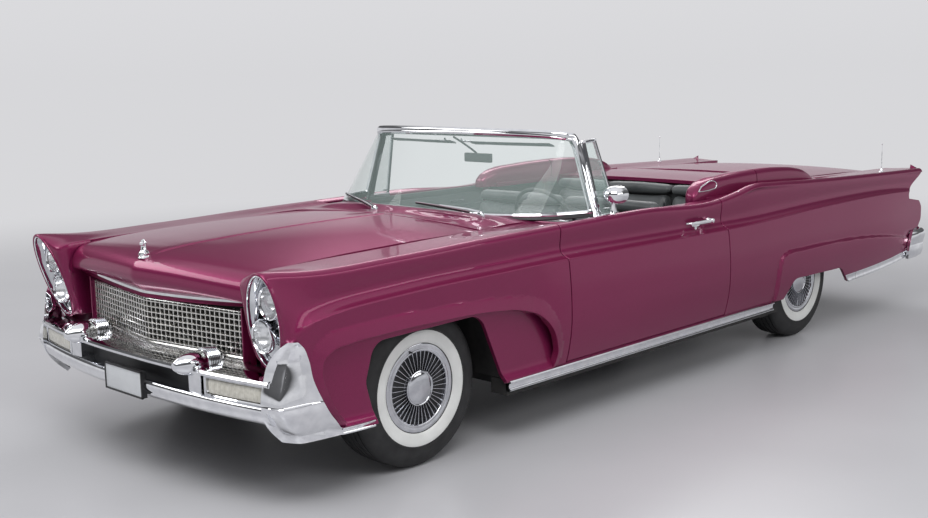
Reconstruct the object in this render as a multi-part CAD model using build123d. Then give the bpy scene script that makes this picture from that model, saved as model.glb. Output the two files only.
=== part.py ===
from build123d import *
import os
from math import cos, pi, radians, sin

# Full-size two-door convertible of the late 1950s, top down. Millimetres.
# +Z up, the nose faces -Y, the driver's side is +X.
# Origin: on the ground, on the centre line, half way along the overall length.

os.makedirs("parts", exist_ok=True)

# ---------------------------------------------------------------- driving sizes
overall_length = 5817
wheelbase = 3327
track = 1549
front_axle_y = -1969
rear_axle_y = front_axle_y + wheelbase
tail_y = overall_length / 2

panel_gap = 6            # gap round doors, hood and lids
hinge_gap = 0.5          # between a hinge leaf or striker and the panel it holds
body_side_x = 1013       # widest line of the body side
cabin_half = 862         # inside of the body side below the belt
door_inner_x = cabin_half + panel_gap
wall = 26                # fender and lid skins with their flanges
sheet = 14               # floor and bulkhead panels with their ribs

door_front_y = -1084
door_rear_y = 317
door_bottom_z = 318
door_bevel = 20          # the rear edge is cut back so that the door swings clear

floor_z = 235
sill_top_z = 310
tunnel_half = 140
tunnel_top_z = 370
trunk_floor_z = 462
jack_x = 910             # pads under the sills for a jack or stand
jack_pad_height = 12
JACK_POINTS = (-1250, 800)
firewall_y = -1372
bulkhead_y = 931

hood_half = 699
hood_rear_y = -1391
lid_split_y = 1606       # line between the top's stowage lid and the trunk lid
tail_panel_y = tail_y - 206.5
tail_panel_depth = 14
deck_rear_y = tail_panel_y - 12
rear_wing_y = tail_y - 278.5

tyre_radius = 356
tyre_width = 224
bead_radius = 182
rim_width = 160
cover_radius = 197
hub_bore_radius = 25.05
spindle_radius = 25
steer_axis_x = 690
tyre_sides = 40          # flats round a tyre and its wheel
pin_radius = 10
pin_play = 0.05
brake_plate_radius = 120
brake_drum_radius = 142
cover_dome_sides = 24

cove_x = 961             # face of the recess round the front wheel
arch_wall = 16

steering_wheel_x = 400
steering_wheel_y = -545
steering_wheel_z = 900
steering_wheel_radius = 203
column_tilt = 28         # degrees of the column above the level

grille_half = 600
grille_bottom_z = 578
grille_top_z = 768
grille_rows = 7
grille_columns = 20
plate_hole_spacing = 178
plate_hole_radius = 3.5

# Outer skin of the body side, nose to tail.
# y, widest line x, crest x, crest z, shoulder x, shoulder z, inner seam z
SIDE = (
    (-2835, 950, 958, 812, 925, 986, 945),
    (-2600, 985, 980, 820, 938, 962, 950),
    (-2110, 1006, 992, 817, 945, 962, 960),
    (-1091, body_side_x, 995, 822, 946, 982, 972),
    (323, body_side_x, 995, 808, 950, 976, 972),
    (650, body_side_x, 996, 810, 960, 1028, 985),
    (1240, body_side_x, 998, 826, 966, 1008, 985),
    (lid_split_y, body_side_x, 998, 832, 968, 994, 978),
    (2400, 1010, 997, 828, 974, 971, 960),
    (tail_y, 985, 985, 808, 982, 960, 950),
)
widest_z = 560
sill_tuck = 40
shoulder_round = 42


# ---------------------------------------------------------------- helpers
def block(x0, x1, y0, y1, z0, z1):
    return Pos((x0 + x1) / 2, (y0 + y1) / 2, (z0 + z1) / 2) * Box(x1 - x0, y1 - y0, z1 - z0)


def side_prism(points, x0, x1, radius=0):
    """A (y, z) outline with rounded corners, extruded from x0 to x1."""
    if radius:
        outline = FilletPolyline(*points, radius=radius, close=True)
    else:
        outline = Polyline(*points, close=True)
    return extrude(Plane.YZ.offset(x0) * make_face(outline), amount=x1 - x0)


def plan_prism(points, z0, z1):
    """An (x, y) outline extruded from z0 to z1."""
    return extrude(Plane.XY.offset(z0) * make_face(Polyline(*points, close=True)), amount=z1 - z0)


def rod(start, end, radius):
    """A round bar between two points."""
    axis = Vector(*end) - Vector(*start)
    return extrude(Plane(origin=start, z_dir=axis) * Circle(radius), amount=axis.length)


def bar(start, end, radius, sides=12):
    """A bar of many flats between two points."""
    axis = Vector(*end) - Vector(*start)
    return extrude(Plane(origin=start, z_dir=axis) * RegularPolygon(radius, sides), amount=axis.length)


def disc(x, y, z, radius, width):
    """A round plate square to X, from x to x + width."""
    return rod((x, y, z), (x + width, y, z), radius)


def polygon(x, radius, sides):
    """Corners of a polygon square to X whose flats lie at the radius, one flat at the bottom."""
    corner = radius / cos(pi / sides)
    turns = [2 * pi * (k + 0.5) / sides for k in range(sides)]
    return make_face(Polyline(*[(x, corner * sin(a), -corner * cos(a)) for a in turns], close=True))


def turned(rows, sides):
    """A solid of many flats through (x, radius) rows, along X."""
    return loft([polygon(x, radius, sides) for x, radius in rows], ruled=True)


def other_side(shape):
    return mirror(shape, about=Plane.YZ)


def one(*shapes):
    joined = shapes[0]
    for shape in shapes[1:]:
        joined = joined + shape
    return joined


def save(node, shape):
    export_step(shape, f"parts/{node}.step")


# ---------------------------------------------------------------- body side sections
def side_row(y):
    """The SIDE table read at any y."""
    for low, high in zip(SIDE, SIDE[1:]):
        if y <= high[0]:
            share = (y - low[0]) / (high[0] - low[0])
            return [a + (b - a) * share for a, b in zip(low, high)]
    return list(SIDE[-1])


def stations(y0, y1):
    return [y0] + [row[0] for row in SIDE if y0 < row[0] < y1] + [y1]


def skin(y, bottom_z):
    """Outer line of the body side, sill to shoulder, as (x, z)."""
    _, widest_x, crest_x, crest_z, shoulder_x, shoulder_z, _ = side_row(y)
    return [
        (widest_x - sill_tuck, bottom_z),
        (widest_x, widest_z),
        (crest_x, crest_z),
        (shoulder_x - 8, crest_z + 40),
        (shoulder_x, shoulder_z - shoulder_round),
        (shoulder_x - shoulder_round, shoulder_z),
    ]


def ring(y, points):
    return make_face(Polyline(*[(x, y, z) for x, z in points], close=True))


def slab(y0, y1, bottom_z, inner_x):
    """Body side from its skin in to an upright inner face."""
    rings = []
    for y in stations(y0, y1):
        seam_z = side_row(y)[6]
        rings.append(ring(y, skin(y, bottom_z) + [(inner_x, seam_z), (inner_x, bottom_z)]))
    return loft(rings, ruled=True)


def shell(y0, y1, bottom_z, seam_x):
    """Body side as a skin with a top shelf that reaches in to seam_x."""
    rings = []
    for y in stations(y0, y1):
        outer = skin(y, bottom_z)
        seam_z = side_row(y)[6]
        inner = [(min(x - wall, cove_x - arch_wall), z) for x, z in outer[:-1]]
        corner = (outer[-1][0] - wall / 2, outer[-1][1] - wall)
        rings.append(ring(y, outer + [(seam_x, seam_z), (seam_x, seam_z - wall), corner] + inner[::-1]))
    return loft(rings, ruled=True)


# ---------------------------------------------------------------- front end outlines
# The nose leans back from the fender tips to the bumper.
nose_tip_y = -2805
nose_tip_z = 988
nose_lean = 0.245
fender_seam_x = hood_half + panel_gap

WING = ((-2835, 470), (-2695, 705), (-2668, 640), (-2645, 540), (-2603, 440), (-2483, 296), (-2620, 286),
        (-2755, 345))
wing_inner_x = 892
wing_outer_x = 996


def nose_y(z):
    return nose_tip_y + (nose_tip_z - z) * nose_lean


def nose_cut():
    """Everything ahead of the leaning front of the fenders."""
    high = 1100
    low = 150
    return side_prism([(nose_y(high), high), (nose_y(low), low), (-3100, low), (-3100, high)], 500, 1150)


def wheel_arch_front():
    outline = [(-2296, 150), (-2352, 480), (-2300, 636), (-1655, 645), (-1500, 150)]
    return side_prism(outline, 700, 1150, radius=[0, 60, 90, 110, 0])


def wheel_arch_rear():
    outline = [(945, 150), (1040, 432), (1655, 428), (1860, 150)]
    return side_prism(outline, 700, 1150, radius=[0, 60, 90, 0])



def cove():
    outline = [(-2600, 150), (-2600, 670), (-2180, 712), (-1500, 690), (-1225, 590), (-1140, 150)]
    return side_prism(outline, cove_x, 1150, radius=[0, 40, 300, 300, 130, 0])


pod_x = 845
pod_z = 775
pod_major = 196
pod_minor = 96
pod_cant = 15            # degrees that the pods lean outwards at the top
pod_back_y = -2655


def pod(grow=0):
    """The canted oval of a lamp pod, from ahead of the nose to the recess's back."""
    oval = Ellipse(pod_minor + grow, pod_major + grow)
    front = Plane(origin=(pod_x, pod_back_y, pod_z), x_dir=(1, 0, 0), z_dir=(0, -1, 0))
    face = front * Rot(0, 0, -pod_cant) * oval
    return extrude(face, amount=300)


# share of the length, share of the radius of a ball drawn with flats
BALL_ROWS = ((-1, 0.35), (-0.55, 0.85), (0, 1), (0.55, 0.85), (1, 0.35))
ball_sides = 12


def faceted_ball(centre, radius, depth=1.0):
    """A ball of flats, shortened along Y to depth."""
    ball = turned([(share * radius * depth, wide * radius) for share, wide in BALL_ROWS], ball_sides)
    return Pos(*centre) * Rot(0, 0, 90) * ball


HINGE_LEVELS = (430, 740)


def front_fender():
    body = shell(-2600, door_front_y - panel_gap, sill_top_z, fender_seam_x)
    inner = [(fender_seam_x, sill_top_z)]
    rings = []
    for y in (-2835, -2600):
        seam = [(fender_seam_x, side_row(y)[6])]
        rings.append(ring(y, skin(y, sill_top_z) + seam + inner))
    nose = loft(rings, ruled=True)
    cheek = block(grille_half + 12, fender_seam_x + 5, -2835, -2600, sill_top_z, 785)
    tyre_room = disc(700, front_axle_y, tyre_radius, 415, 245)
    fender = body + nose + cheek - nose_cut() - pod()
    fender = fender - cove() - wheel_arch_front() - tyre_room
    fender = fender - side_prism(WING, wing_inner_x, 1100)
    for z in HINGE_LEVELS:
        fender = fender + block(944, 956, door_front_y - panel_gap - 1, door_front_y - hinge_gap, z, z + 70)
    return fender


# ---------------------------------------------------------------- doors and rear quarters
def door():
    panel = slab(door_front_y, door_rear_y, door_bottom_z, door_inner_x)
    bevel = plan_prism(
        [(door_inner_x - 10, door_rear_y - door_bevel), (body_side_x, door_rear_y),
         (body_side_x, door_rear_y + 10), (door_inner_x - 10, door_rear_y + 10)], 200, 1200)
    return panel - bevel


# Rear outline of the quarter, cut away behind it: distance behind the tail, z.
TAIL_NOTCH = ((92, 935), (-3.5, 935), (-218.5, 815), (-228.5, 770), (-48.5, 735), (-3.5, 690), (-3.5, 600),
              (-48.5, 545), (-208.5, 536), (92, 400))


def rear_quarter():
    cabin_part = slab(door_rear_y + panel_gap, lid_split_y, sill_top_z, cabin_half)
    rings = []
    shelf_x = hood_half + panel_gap
    for y in stations(lid_split_y, tail_y):
        seam_z = side_row(y)[6]
        inner = [(shelf_x, seam_z), (shelf_x, seam_z - wall), (cabin_half, seam_z - 2 * wall),
                 (cabin_half, sill_top_z)]
        rings.append(ring(y, skin(y, sill_top_z) + inner))
    rear_part = loft(rings, ruled=True)
    flare_y = tail_y - 298.5
    outline = [(868, 312), (890, 590), (1130, 600), (1650, 593), (flare_y, 505), (flare_y, 380), (1900, 312)]
    flare = side_prism(outline, 940, body_side_x + 2, radius=[0, 50, 0, 0, 0, 0, 0])
    striker = block(972, 1000, door_rear_y + hinge_gap, door_rear_y + panel_gap + 1, 540, 600)
    quarter = cabin_part + rear_part + flare + striker
    quarter = quarter - side_prism([(tail_y + back, z) for back, z in TAIL_NOTCH], 600, 1150)
    low_tail = side_prism([(1780, 200), (1800, 318), (2140, 330), (tail_panel_y - 22, 372), (tail_y + 92, 392),
                           (tail_y + 92, 200)], 600, 1150)
    bumper_room = block(600, 1150, rear_wing_y - 5, tail_y + 92, 200, 540)
    tyre_room = disc(600, rear_axle_y, tyre_radius, 385, 305)
    return quarter - low_tail - bumper_room - wheel_arch_rear() - tyre_room


def side_fairing():
    """Raised fairing beside the rear seat, with the pocket where the roof rail went in."""
    outline = [(246, 968), (262, 1015), (330, 1072), (470, 1082), (854, 1092), (854, 968)]
    bar = side_prism(outline, 742, cabin_half, radius=[0, 20, 60, 0, 0, 0])
    return bar


# ---------------------------------------------------------------- hood and lids
# Share of the half width, then how far each line of the hood moves there.
HOOD_SHARES = (-1, -0.5, 0, 0.5, 1)


def hood_ring(share):
    x = hood_half * share
    drop = 28 * share * share
    back = 72 * share * share
    outer = [
        (hood_rear_y, 1000 - drop),
        (-2000, 1000 - 1.2 * drop),
        (-2600, 974 - 0.8 * drop),
        (-2752 + back, 954 - 0.6 * drop),
        (-2796 + back, 900),
        (-2798 + back, 862),
        (-2766 + back, 796 + 0.9 * drop),
    ]
    inner = [
        (-2766 + back + wall, 800 + 0.9 * drop),
        (-2798 + back + wall, 862),
        (-2796 + back + wall, 896),
        (-2752 + back + wall, 930 - 0.6 * drop),
        (-2600, 974 - wall - 0.8 * drop),
        (-2000, 1000 - wall - 1.2 * drop),
        (hood_rear_y, 1000 - wall - drop),
    ]
    return make_face(Polyline(*[(x, y, z) for y, z in outer + inner], close=True))


def hood():
    return loft([hood_ring(share) for share in HOOD_SHARES], ruled=True)


def lid_ring(y, half, edge_z, crown):
    top = [(-half, edge_z), (-half / 2, edge_z + 0.75 * crown), (0, edge_z + crown),
           (half / 2, edge_z + 0.75 * crown), (half, edge_z)]
    under = [(x, z - wall) for x, z in top[::-1]]
    return make_face(Polyline(*[(x, y, z) for x, z in top + under], close=True))


deck_front_y = lid_split_y + 2 * panel_gap + 4


def deck_lid():
    # y, edge z, crown
    rows = ((deck_front_y, 978, 20), (2200, 966, 18), (2560, 956, 14), (deck_rear_y, 940, 10))
    skin_part = loft([lid_ring(y, hood_half, z, crown) for y, z, crown in rows], ruled=True)
    lip = block(-hood_half, hood_half, deck_rear_y - wall, deck_rear_y, 880, 935)
    return skin_part + lip


stowage_front_y = bulkhead_y + 10


def stowage_lid():
    half = cabin_half - panel_gap
    rows = ((stowage_front_y, 982, 14), (lid_split_y - panel_gap, 984, 16))
    lid = loft([lid_ring(y, half, z, crown) for y, z, crown in rows], ruled=True)
    outline = [(stowage_front_y - 81, 968), (stowage_front_y - 81, 1090), (1300, 1075), (1470, 1052),
               (lid_split_y - panel_gap, 984), (lid_split_y - panel_gap, 960), (stowage_front_y, 960)]
    hump = side_prism(outline, 742, half, radius=[0, 0, 0, 60, 0, 0, 0])
    return one(lid, hump, other_side(hump))


# ---------------------------------------------------------------- structure
def underbody():
    half = cabin_half
    floor = block(-half, half, firewall_y, bulkhead_y, floor_z, floor_z + sheet)
    tunnel = block(-tunnel_half, tunnel_half, firewall_y, 120, floor_z, tunnel_top_z)
    room_half = tunnel_half - sheet
    tunnel_room = block(-room_half, room_half, firewall_y - 1, 120 - sheet, 0, tunnel_top_z - sheet)
    firewall = block(-half, half, firewall_y, firewall_y + sheet, floor_z, 940)
    bulkhead = block(-half, half, bulkhead_y - sheet, bulkhead_y, floor_z, 930)
    kick_up = block(-half, half, bulkhead_y - sheet, bulkhead_y + sheet, floor_z, trunk_floor_z + sheet)
    trunk_floor = block(-half, half, bulkhead_y, tail_panel_y, trunk_floor_z, trunk_floor_z + sheet)
    hinge_rail = block(-hood_half, hood_half, lid_split_y + 2, lid_split_y + 12, 860, 948)
    posts = block(-half, half, lid_split_y + 2, lid_split_y + 12, trunk_floor_z, 895)
    opening = block(-640, 640, lid_split_y, lid_split_y + 14, trunk_floor_z + sheet, 870)
    body = one(floor, tunnel, firewall, bulkhead, kick_up, trunk_floor, hinge_rail, posts - opening)
    body = body - tunnel_room
    crossmember = block(-470, 470, front_axle_y - 60, front_axle_y + 60, 218, 300)
    nose_beam = block(-470, 470, -2600, -2560, 330, 400)
    leaf = block(500, 540, lid_split_y - panel_gap + hinge_gap, deck_front_y - hinge_gap, 930, 970)
    body = one(body, crossmember, nose_beam, leaf, other_side(leaf))
    for side in (-1, 1):
        body = body + side_structure(side)
    return body


def side_structure(side):
    """Sill, hinge pillar, wheelhouses and rails of one side."""
    sill = block(cabin_half - 1, 965, -1500, 940, floor_z, sill_top_z)
    pillar = block(800, cabin_half, firewall_y, door_front_y - panel_gap, floor_z, 940)
    rail = block(400, 460, -2600, firewall_y + 5, 300, 400)
    apron = block(456, 470, -2560, firewall_y + 5, 300, 900)
    house = block(640, cabin_half, bulkhead_y, 1800, trunk_floor_z, 800)
    room = block(654, cabin_half + 5, bulkhead_y + sheet, 1800 - sheet, 0, 786)
    rear_rail = block(440, 520, bulkhead_y, tail_panel_y - 2, 430, trunk_floor_z)
    part = one(sill, pillar, rail, apron, house - room, rear_rail)
    for y in JACK_POINTS:
        part = part + block(jack_x - 40, jack_x + 40, y - 50, y + 50, floor_z - jack_pad_height, floor_z + 1)
    # The trunk floor is open above each rear tyre.
    return part if side > 0 else other_side(part)


def tyre_slots():
    slot = block(654, cabin_half + 5, bulkhead_y + sheet, 1800 - sheet, 400, 786)
    return slot + other_side(slot)


def cowl_panel():
    """Crowned panel between the hood and the windshield, with legs beside the cabin."""
    crown = make_face(Polyline(
        (-cabin_half, 968), (-430, 995), (0, 1004), (430, 995), (cabin_half, 968),
        (cabin_half, 950), (-cabin_half, 950), close=True))
    front = hood_rear_y + panel_gap
    panel = extrude(Plane.XZ.offset(-front) * crown, amount=700 + front)
    cabin_cut = plan_prism(
        [(-790, -600), (-790, -800), (-600, -1040), (0, -1170), (600, -1040), (790, -800), (790, -600)], 800, 1100)
    outer_cut = block(fender_seam_x, 1000, -1500, door_front_y - panel_gap, 800, 1100)
    panel = panel - cabin_cut - outer_cut - other_side(outer_cut)
    leaf = block(430, 470, hood_rear_y + hinge_gap, hood_rear_y + panel_gap + 4, 966, 984)
    return one(panel, leaf, other_side(leaf))


def front_panel():
    """Radiator panel behind the grille and the apron under it."""
    core = block(-(grille_half + 12), grille_half + 12, -2630, -2600, sill_top_z, 785)
    return core


# ---------------------------------------------------------------- grille and bumpers
grille_centre_y = -2757
grille_side_y = -2672
grille_depth = 24


def v_band(half, centre_y, side_y, depth, z0, z1):
    """A band that is V-shaped in plan."""
    points = [(-half, side_y), (0, centre_y), (half, side_y), (half, side_y + depth),
              (0, centre_y + depth), (-half, side_y + depth)]
    return plan_prism(points, z0, z1)


def grille():
    """Egg-crate grille: level blades in front, upright blades fixed to their backs."""
    blade = 6
    frame_height = 10
    rows = []
    pitch = (grille_top_z - grille_bottom_z) / grille_rows
    for row in range(grille_rows + 1):
        z = grille_bottom_z + pitch * row
        thick = frame_height if row in (0, grille_rows) else blade
        low, high = z - thick / 2, z + thick / 2
        rows.append(v_band(grille_half, grille_centre_y, grille_side_y, grille_depth / 2, low, high))
    body = rows[0]
    for column in range(grille_columns + 1):
        x = grille_half * (2 * column / grille_columns - 1)
        x = max(-grille_half + blade / 2, min(grille_half - blade / 2, x))
        y = grille_centre_y + (grille_side_y - grille_centre_y) * abs(x) / grille_half
        upright = block(x - blade / 2, x + blade / 2, y + grille_depth / 2 - 3, y + grille_depth,
                        grille_bottom_z - 5, grille_top_z + 5)
        body = body + upright
    for row in rows[1:]:
        body = body + row
    legs = block(-grille_half, -grille_half + 20, grille_side_y + 10, -2630, 600, 760)
    return body + legs + other_side(legs)


bumper_centre_y = -2862
bumper_end_y = -2785
bumper_half = wing_inner_x


def front_bumper():
    """Bright bumper: two V bars, guards, splash pan, plate bracket and wrap-round wings."""
    top_bar = v_band(bumper_half, bumper_centre_y, bumper_end_y, 80, 478, 552)
    low_bar = v_band(bumper_half, bumper_centre_y + 22, bumper_end_y + 22, 80, 366, 424)
    web = v_band(bumper_half, bumper_centre_y + 60, bumper_end_y + 60, 30, 420, 480)
    pan = v_band(grille_half + 6, bumper_centre_y + 70, -2715, 40, 550, 562)
    pan_back = v_band(grille_half + 6, bumper_centre_y + 90, -2715 + 10, 50, 540, 562)
    wing = side_prism(WING, wing_inner_x, wing_outer_x)
    guard = bar((455, -2905, 572), (455, -2740, 560), 32) + faceted_ball((455, -2780, 560), 62)
    guard = guard - block(300, 600, -2719, -2600, 400, 700)
    bracket = block(-158, 158, bumper_centre_y - 22, bumper_centre_y + 75, 384, 492)
    body = one(top_bar, low_bar, web, pan, pan_back, wing, other_side(wing), guard, other_side(guard), bracket)
    for side in (-1, 1):
        hole_x = side * plate_hole_spacing / 2
        start = (hole_x, bumper_centre_y - 30, 470)
        body = body - rod(start, (hole_x, bumper_centre_y + 4, 470), plate_hole_radius)
    return body


def rear_bumper():
    """Bright bar with a raised crown, and ends that wrap under the quarters."""
    bar = block(-930, 930, tail_y - 110, tail_y - 8, 380, 500)
    crown = block(-700, 700, tail_y - 60, tail_y, 410, 470)
    outline = [(rear_wing_y, 372), (rear_wing_y, 500), (rear_wing_y + 70, 530), (tail_y - 28, 535),
               (tail_y - 12, 480), (tail_y - 20, 385)]
    end = side_prism(outline, door_inner_x, body_side_x, radius=[0, 0, 30, 30, 20, 20])
    bracket = block(300, 340, tail_panel_y + tail_panel_depth, tail_y - 100, 400, 460)
    return one(bar, crown, end, other_side(end), bracket, other_side(bracket))


# ---------------------------------------------------------------- lamps
lamp_radius = 70
LAMPS = ((881, 854), (812, 714))     # x, z of the upper and the lower lamp


def headlamps():
    body = None
    for x, z in LAMPS:
        lamp = bar((x, pod_back_y, z), (x, pod_back_y - 70, z), lamp_radius, 20)
        lamp = lamp + bar((x, pod_back_y - 70, z), (x, pod_back_y - 82, z), lamp_radius - 14, 20)
        body = lamp if body is None else body + lamp
    plate = pod(-1) & block(600, 1100, pod_back_y - 12, pod_back_y, 400, 1100)
    pair = body + plate
    return pair + other_side(pair)


TAIL_LAMPS = (430, 580, 730)
tail_lamp_z = 700
tail_lamp_radius = 58
tail_bar_depth = 18


def tail_panel():
    back_y = tail_panel_y + tail_panel_depth
    frame = block(-cabin_half, cabin_half, tail_panel_y, back_y, 380, 896)
    bars = frame + block(-hood_half, hood_half, tail_panel_y, back_y, 890, 922)
    for level in range(6):
        z = 590 + 42 * level
        bars = bars + block(-800, 800, back_y - 2, back_y + tail_bar_depth, z, z + 8)
    return bars


def tail_lamps():
    """Three round lamps a side, standing on the bars of the tail panel."""
    foot_y = tail_panel_y + tail_panel_depth + tail_bar_depth
    body = None
    for x in TAIL_LAMPS:
        for side in (-1, 1):
            foot, edge, tip = [(side * x, foot_y + out, tail_lamp_z) for out in (0, 56, 72)]
            lamp = bar(foot, edge, tail_lamp_radius, 20) + bar(edge, tip, tail_lamp_radius - 14, 20)
            body = lamp if body is None else body + lamp
    return body


# ---------------------------------------------------------------- windshield
# Plan lines of the wrap-round glass: centre, end of the gentle sweep, pillar.
BASE_LINE = ((0, -1236), (610, -1090), (840, -742))
TOP_LINE = ((0, -868), (590, -800), (722, -712))
base_z = 1012
header_z = 1362


def glass_outline(line, z, inset, depth):
    """Closed band along a plan line, depth thick, its front set back by inset."""
    (_, y0), (x1, y1), (x2, y2) = line
    front = [(-x2, y2), (-x1, y1), (0, y0), (x1, y1), (x2, y2)]
    front = [(x, y + inset) for x, y in front]
    shrink = [(x - depth * (1 if x > 0 else -1 if x < 0 else 0) * 0.8, y + depth * 0.6) for x, y in front]
    shrink[2] = (0, y0 + inset + depth)
    return make_face(Polyline(*[(x, y, z) for x, y in front + shrink[::-1]], close=True))


def windshield_glass(frame):
    foot = glass_outline(BASE_LINE, base_z, 12, 8)
    head = glass_outline(TOP_LINE, header_z, 12, 8)
    sweep = loft([foot, head], ruled=True)
    panes = (sweep - frame).solids()
    return max(panes, key=lambda pane: pane.volume)


def windshield_frame(cowl):
    header = loft([glass_outline(TOP_LINE, header_z, 0, 42),
                   glass_outline(TOP_LINE, header_z + 30, 12, 40)], ruled=True)
    base = loft([glass_outline(BASE_LINE, 940, 0, 30), glass_outline(BASE_LINE, base_z, 0, 30)], ruled=True)
    foot = [(822, -748), (862, -748), (862, -706), (822, -706)]
    head = [(700, -744), (738, -744), (738, -700), (700, -700)]
    pillar = loft([make_face(Polyline(*[(x, y, 940) for x, y in foot], close=True)),
                   make_face(Polyline(*[(x, y, header_z + 24) for x, y in head], close=True))], ruled=True)
    frame = one(header, base, pillar, other_side(pillar))
    return frame - cowl


# Wipers: pivot x, y, then the free end of the blade x, y.
WIPERS = ((545, -1218, 90, -1222), (-145, -1300, -590, -1118))


def wipers(cowl):
    """Two arms parked along the foot of the glass, both towards the passenger's side."""
    body = None
    for pivot_x, pivot_y, tip_x, tip_y in WIPERS:
        post = bar((pivot_x, pivot_y, 960), (pivot_x, pivot_y, 1026), 12, 8)
        pivot = Vector(pivot_x, pivot_y, 1022)
        tip = Vector(tip_x, tip_y, 1044)
        arm = bar(pivot, pivot + (tip - pivot) * 0.62, 5, 6)
        blade = bar(pivot + (tip - pivot) * 0.16, tip, 6, 6)
        piece = one(post, arm, blade)
        body = piece if body is None else body + piece
    return body - cowl


# ---------------------------------------------------------------- cabin
def dashboard():
    outline = [(-1060, 940), (-1060, 700), (-900, 680), (-812, 740), (-800, 890), (-830, 940)]
    dash = side_prism(outline, -800, 800, radius=[0, 0, 60, 40, 30, 0])
    return dash - rod(column_point(-950), column_point(-20), 24)


def column_point(distance):
    """A point on the steering column's axis, measured from the wheel's centre."""
    tilt = radians(column_tilt)
    return (steering_wheel_x, steering_wheel_y + distance * cos(tilt), steering_wheel_z + distance * sin(tilt))


def steering_column():
    tube = rod(column_point(-925), column_point(-50), 24)
    shaft = rod(column_point(-60), column_point(-8), 12)
    column = tube + shaft
    return column - block(300, 500, -2000, firewall_y + sheet, 0, 1000)


def steering_wheel():
    tilt = radians(column_tilt)
    plane = Plane(origin=column_point(0), x_dir=(1, 0, 0), z_dir=(0, cos(tilt), sin(tilt)))
    ring = turned([(-11, steering_wheel_radius - 2), (-4, steering_wheel_radius + 10),
                   (4, steering_wheel_radius + 10), (11, steering_wheel_radius - 2)], tyre_sides)
    ring = ring - turned([(-12, steering_wheel_radius - 12), (12, steering_wheel_radius - 12)], tyre_sides)
    rim = plane * Rot(0, -90, 0) * ring
    hub = plane * Pos(0, 0, -8) * Cylinder(38, 68)
    bore = rod(column_point(-60), column_point(-6), 12.05)
    spoke = plane * Box(2 * steering_wheel_radius - 8, 26, 12)
    return one(rim, hub, spoke) - bore


def front_seat():
    cushion = side_prism([(-590, 400), (-600, 560), (-560, 600), (-60, 585), (-20, 400)], -690, 690,
                         radius=[0, 40, 40, 0, 0])
    back = side_prism([(-75, 420), (-60, 590), (60, 968), (140, 968), (120, 420)], -690, 690,
                      radius=[0, 0, 40, 40, 0])
    plinth = block(-600, 600, -540, 60, floor_z + sheet, 405)
    plinth = plinth - block(-tunnel_half, tunnel_half, -2000, 120, 0, tunnel_top_z)
    return one(cushion, back, plinth)


def rear_seat():
    outline = [(395, floor_z + sheet), (385, 560), (420, 600), (790, 570), (800, floor_z + sheet)]
    cushion = side_prism(outline, -680, 680, radius=[0, 30, 40, 0, 0])
    back = side_prism([(770, floor_z + sheet), (755, 580), (830, 960), (bulkhead_y - sheet, 960),
                       (bulkhead_y - sheet, floor_z + sheet)], -680, 680, radius=[0, 0, 40, 20, 0])
    rest = block(676, cabin_half, 420, bulkhead_y - sheet, 420, 760)
    return one(cushion, back, rest, other_side(rest))


def vent_window():
    """Quarter window in its frame, standing on the door and leaning in with the pillar."""
    foot_y = (-690, -560)
    head_y = (-675, -600)
    foot_x = 876
    head_x = 768
    rings = []
    for x, ys, z in ((foot_x, foot_y, 940), (head_x, head_y, 1350)):
        corners = [(x, ys[0], z), (x + 16, ys[0], z), (x + 16, ys[1], z), (x, ys[1], z)]
        rings.append(make_face(Polyline(*corners, close=True)))
    pane = loft(rings, ruled=True)
    return pane


def door_mirror():
    stem = bar((925, -640, 970), (925, -640, 1040), 9, 8)
    foot = bar((925, -640, 970), (925, -640, 992), 24)
    head = faceted_ball((925, -640, 1085), 62, 0.8)
    return one(stem, foot, head)


# ---------------------------------------------------------------- running gear
def tyre(x, y):
    """A tyre with its bead on the rim, rolling about X."""
    half = tyre_width / 2
    outer = [(rim_width / 2, bead_radius + 8), (half - 6, 222), (half, 270),
             (half - 16, tyre_radius - 22), (half - 42, tyre_radius)]
    inner = [(-across, radius) for across, radius in outer]
    body = turned(inner + outer[::-1], tyre_sides)
    bore = turned([(-half, bead_radius), (half, bead_radius)], tyre_sides)
    return Pos(x, y, tyre_radius) * (body - bore)


def wheel(side, x, y):
    """Rim, disc, drum and bright full cover; side is +1 on the driver's side."""
    centre = side * x
    edge = rim_width / 2
    barrel = turned([(-edge, bead_radius), (edge, bead_radius)], tyre_sides)
    hollow = turned([(-edge - 1, bead_radius - 16), (edge - 25, bead_radius - 16)], tyre_sides)
    cover = turned([(edge, bead_radius - 4), (edge + 14, cover_radius), (edge + 20, cover_radius - 5)],
                   tyre_sides)
    dish = turned([(edge + 8, 166), (edge + 21, 172)], tyre_sides)
    dome = turned([(edge - 2, 104), (edge + 18, 88), (edge + 30, 40)], cover_dome_sides)
    hub = bar((-40, 0, 0), (edge - 24, 0, 0), 58)
    drum = bar((-40, 0, 0), (-8, 0, 0), brake_drum_radius, 24)
    bore = rod((-60, 0, 0), (62, 0, 0), hub_bore_radius)
    body = barrel - hollow + cover - dish + dome + hub + drum - bore
    if side < 0:
        body = other_side(body)
    return Pos(centre, y, tyre_radius) * body


def knuckle():
    """Upright, spindle and brake plate that turn about the steering axis."""
    def at(x, rise=0):
        return (x, front_axle_y, tyre_radius + rise)
    upright = bar(at(steer_axis_x, -128), at(steer_axis_x, 128), 24)
    spindle = rod(at(steer_axis_x), at(track / 2 + 56), spindle_radius)
    plate = bar(at(steer_axis_x + 23), at(steer_axis_x + 31), brake_plate_radius, 24)
    pins = rod(at(steer_axis_x, -144), at(steer_axis_x, 144), pin_radius)
    return one(upright, spindle, plate, pins)


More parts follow.
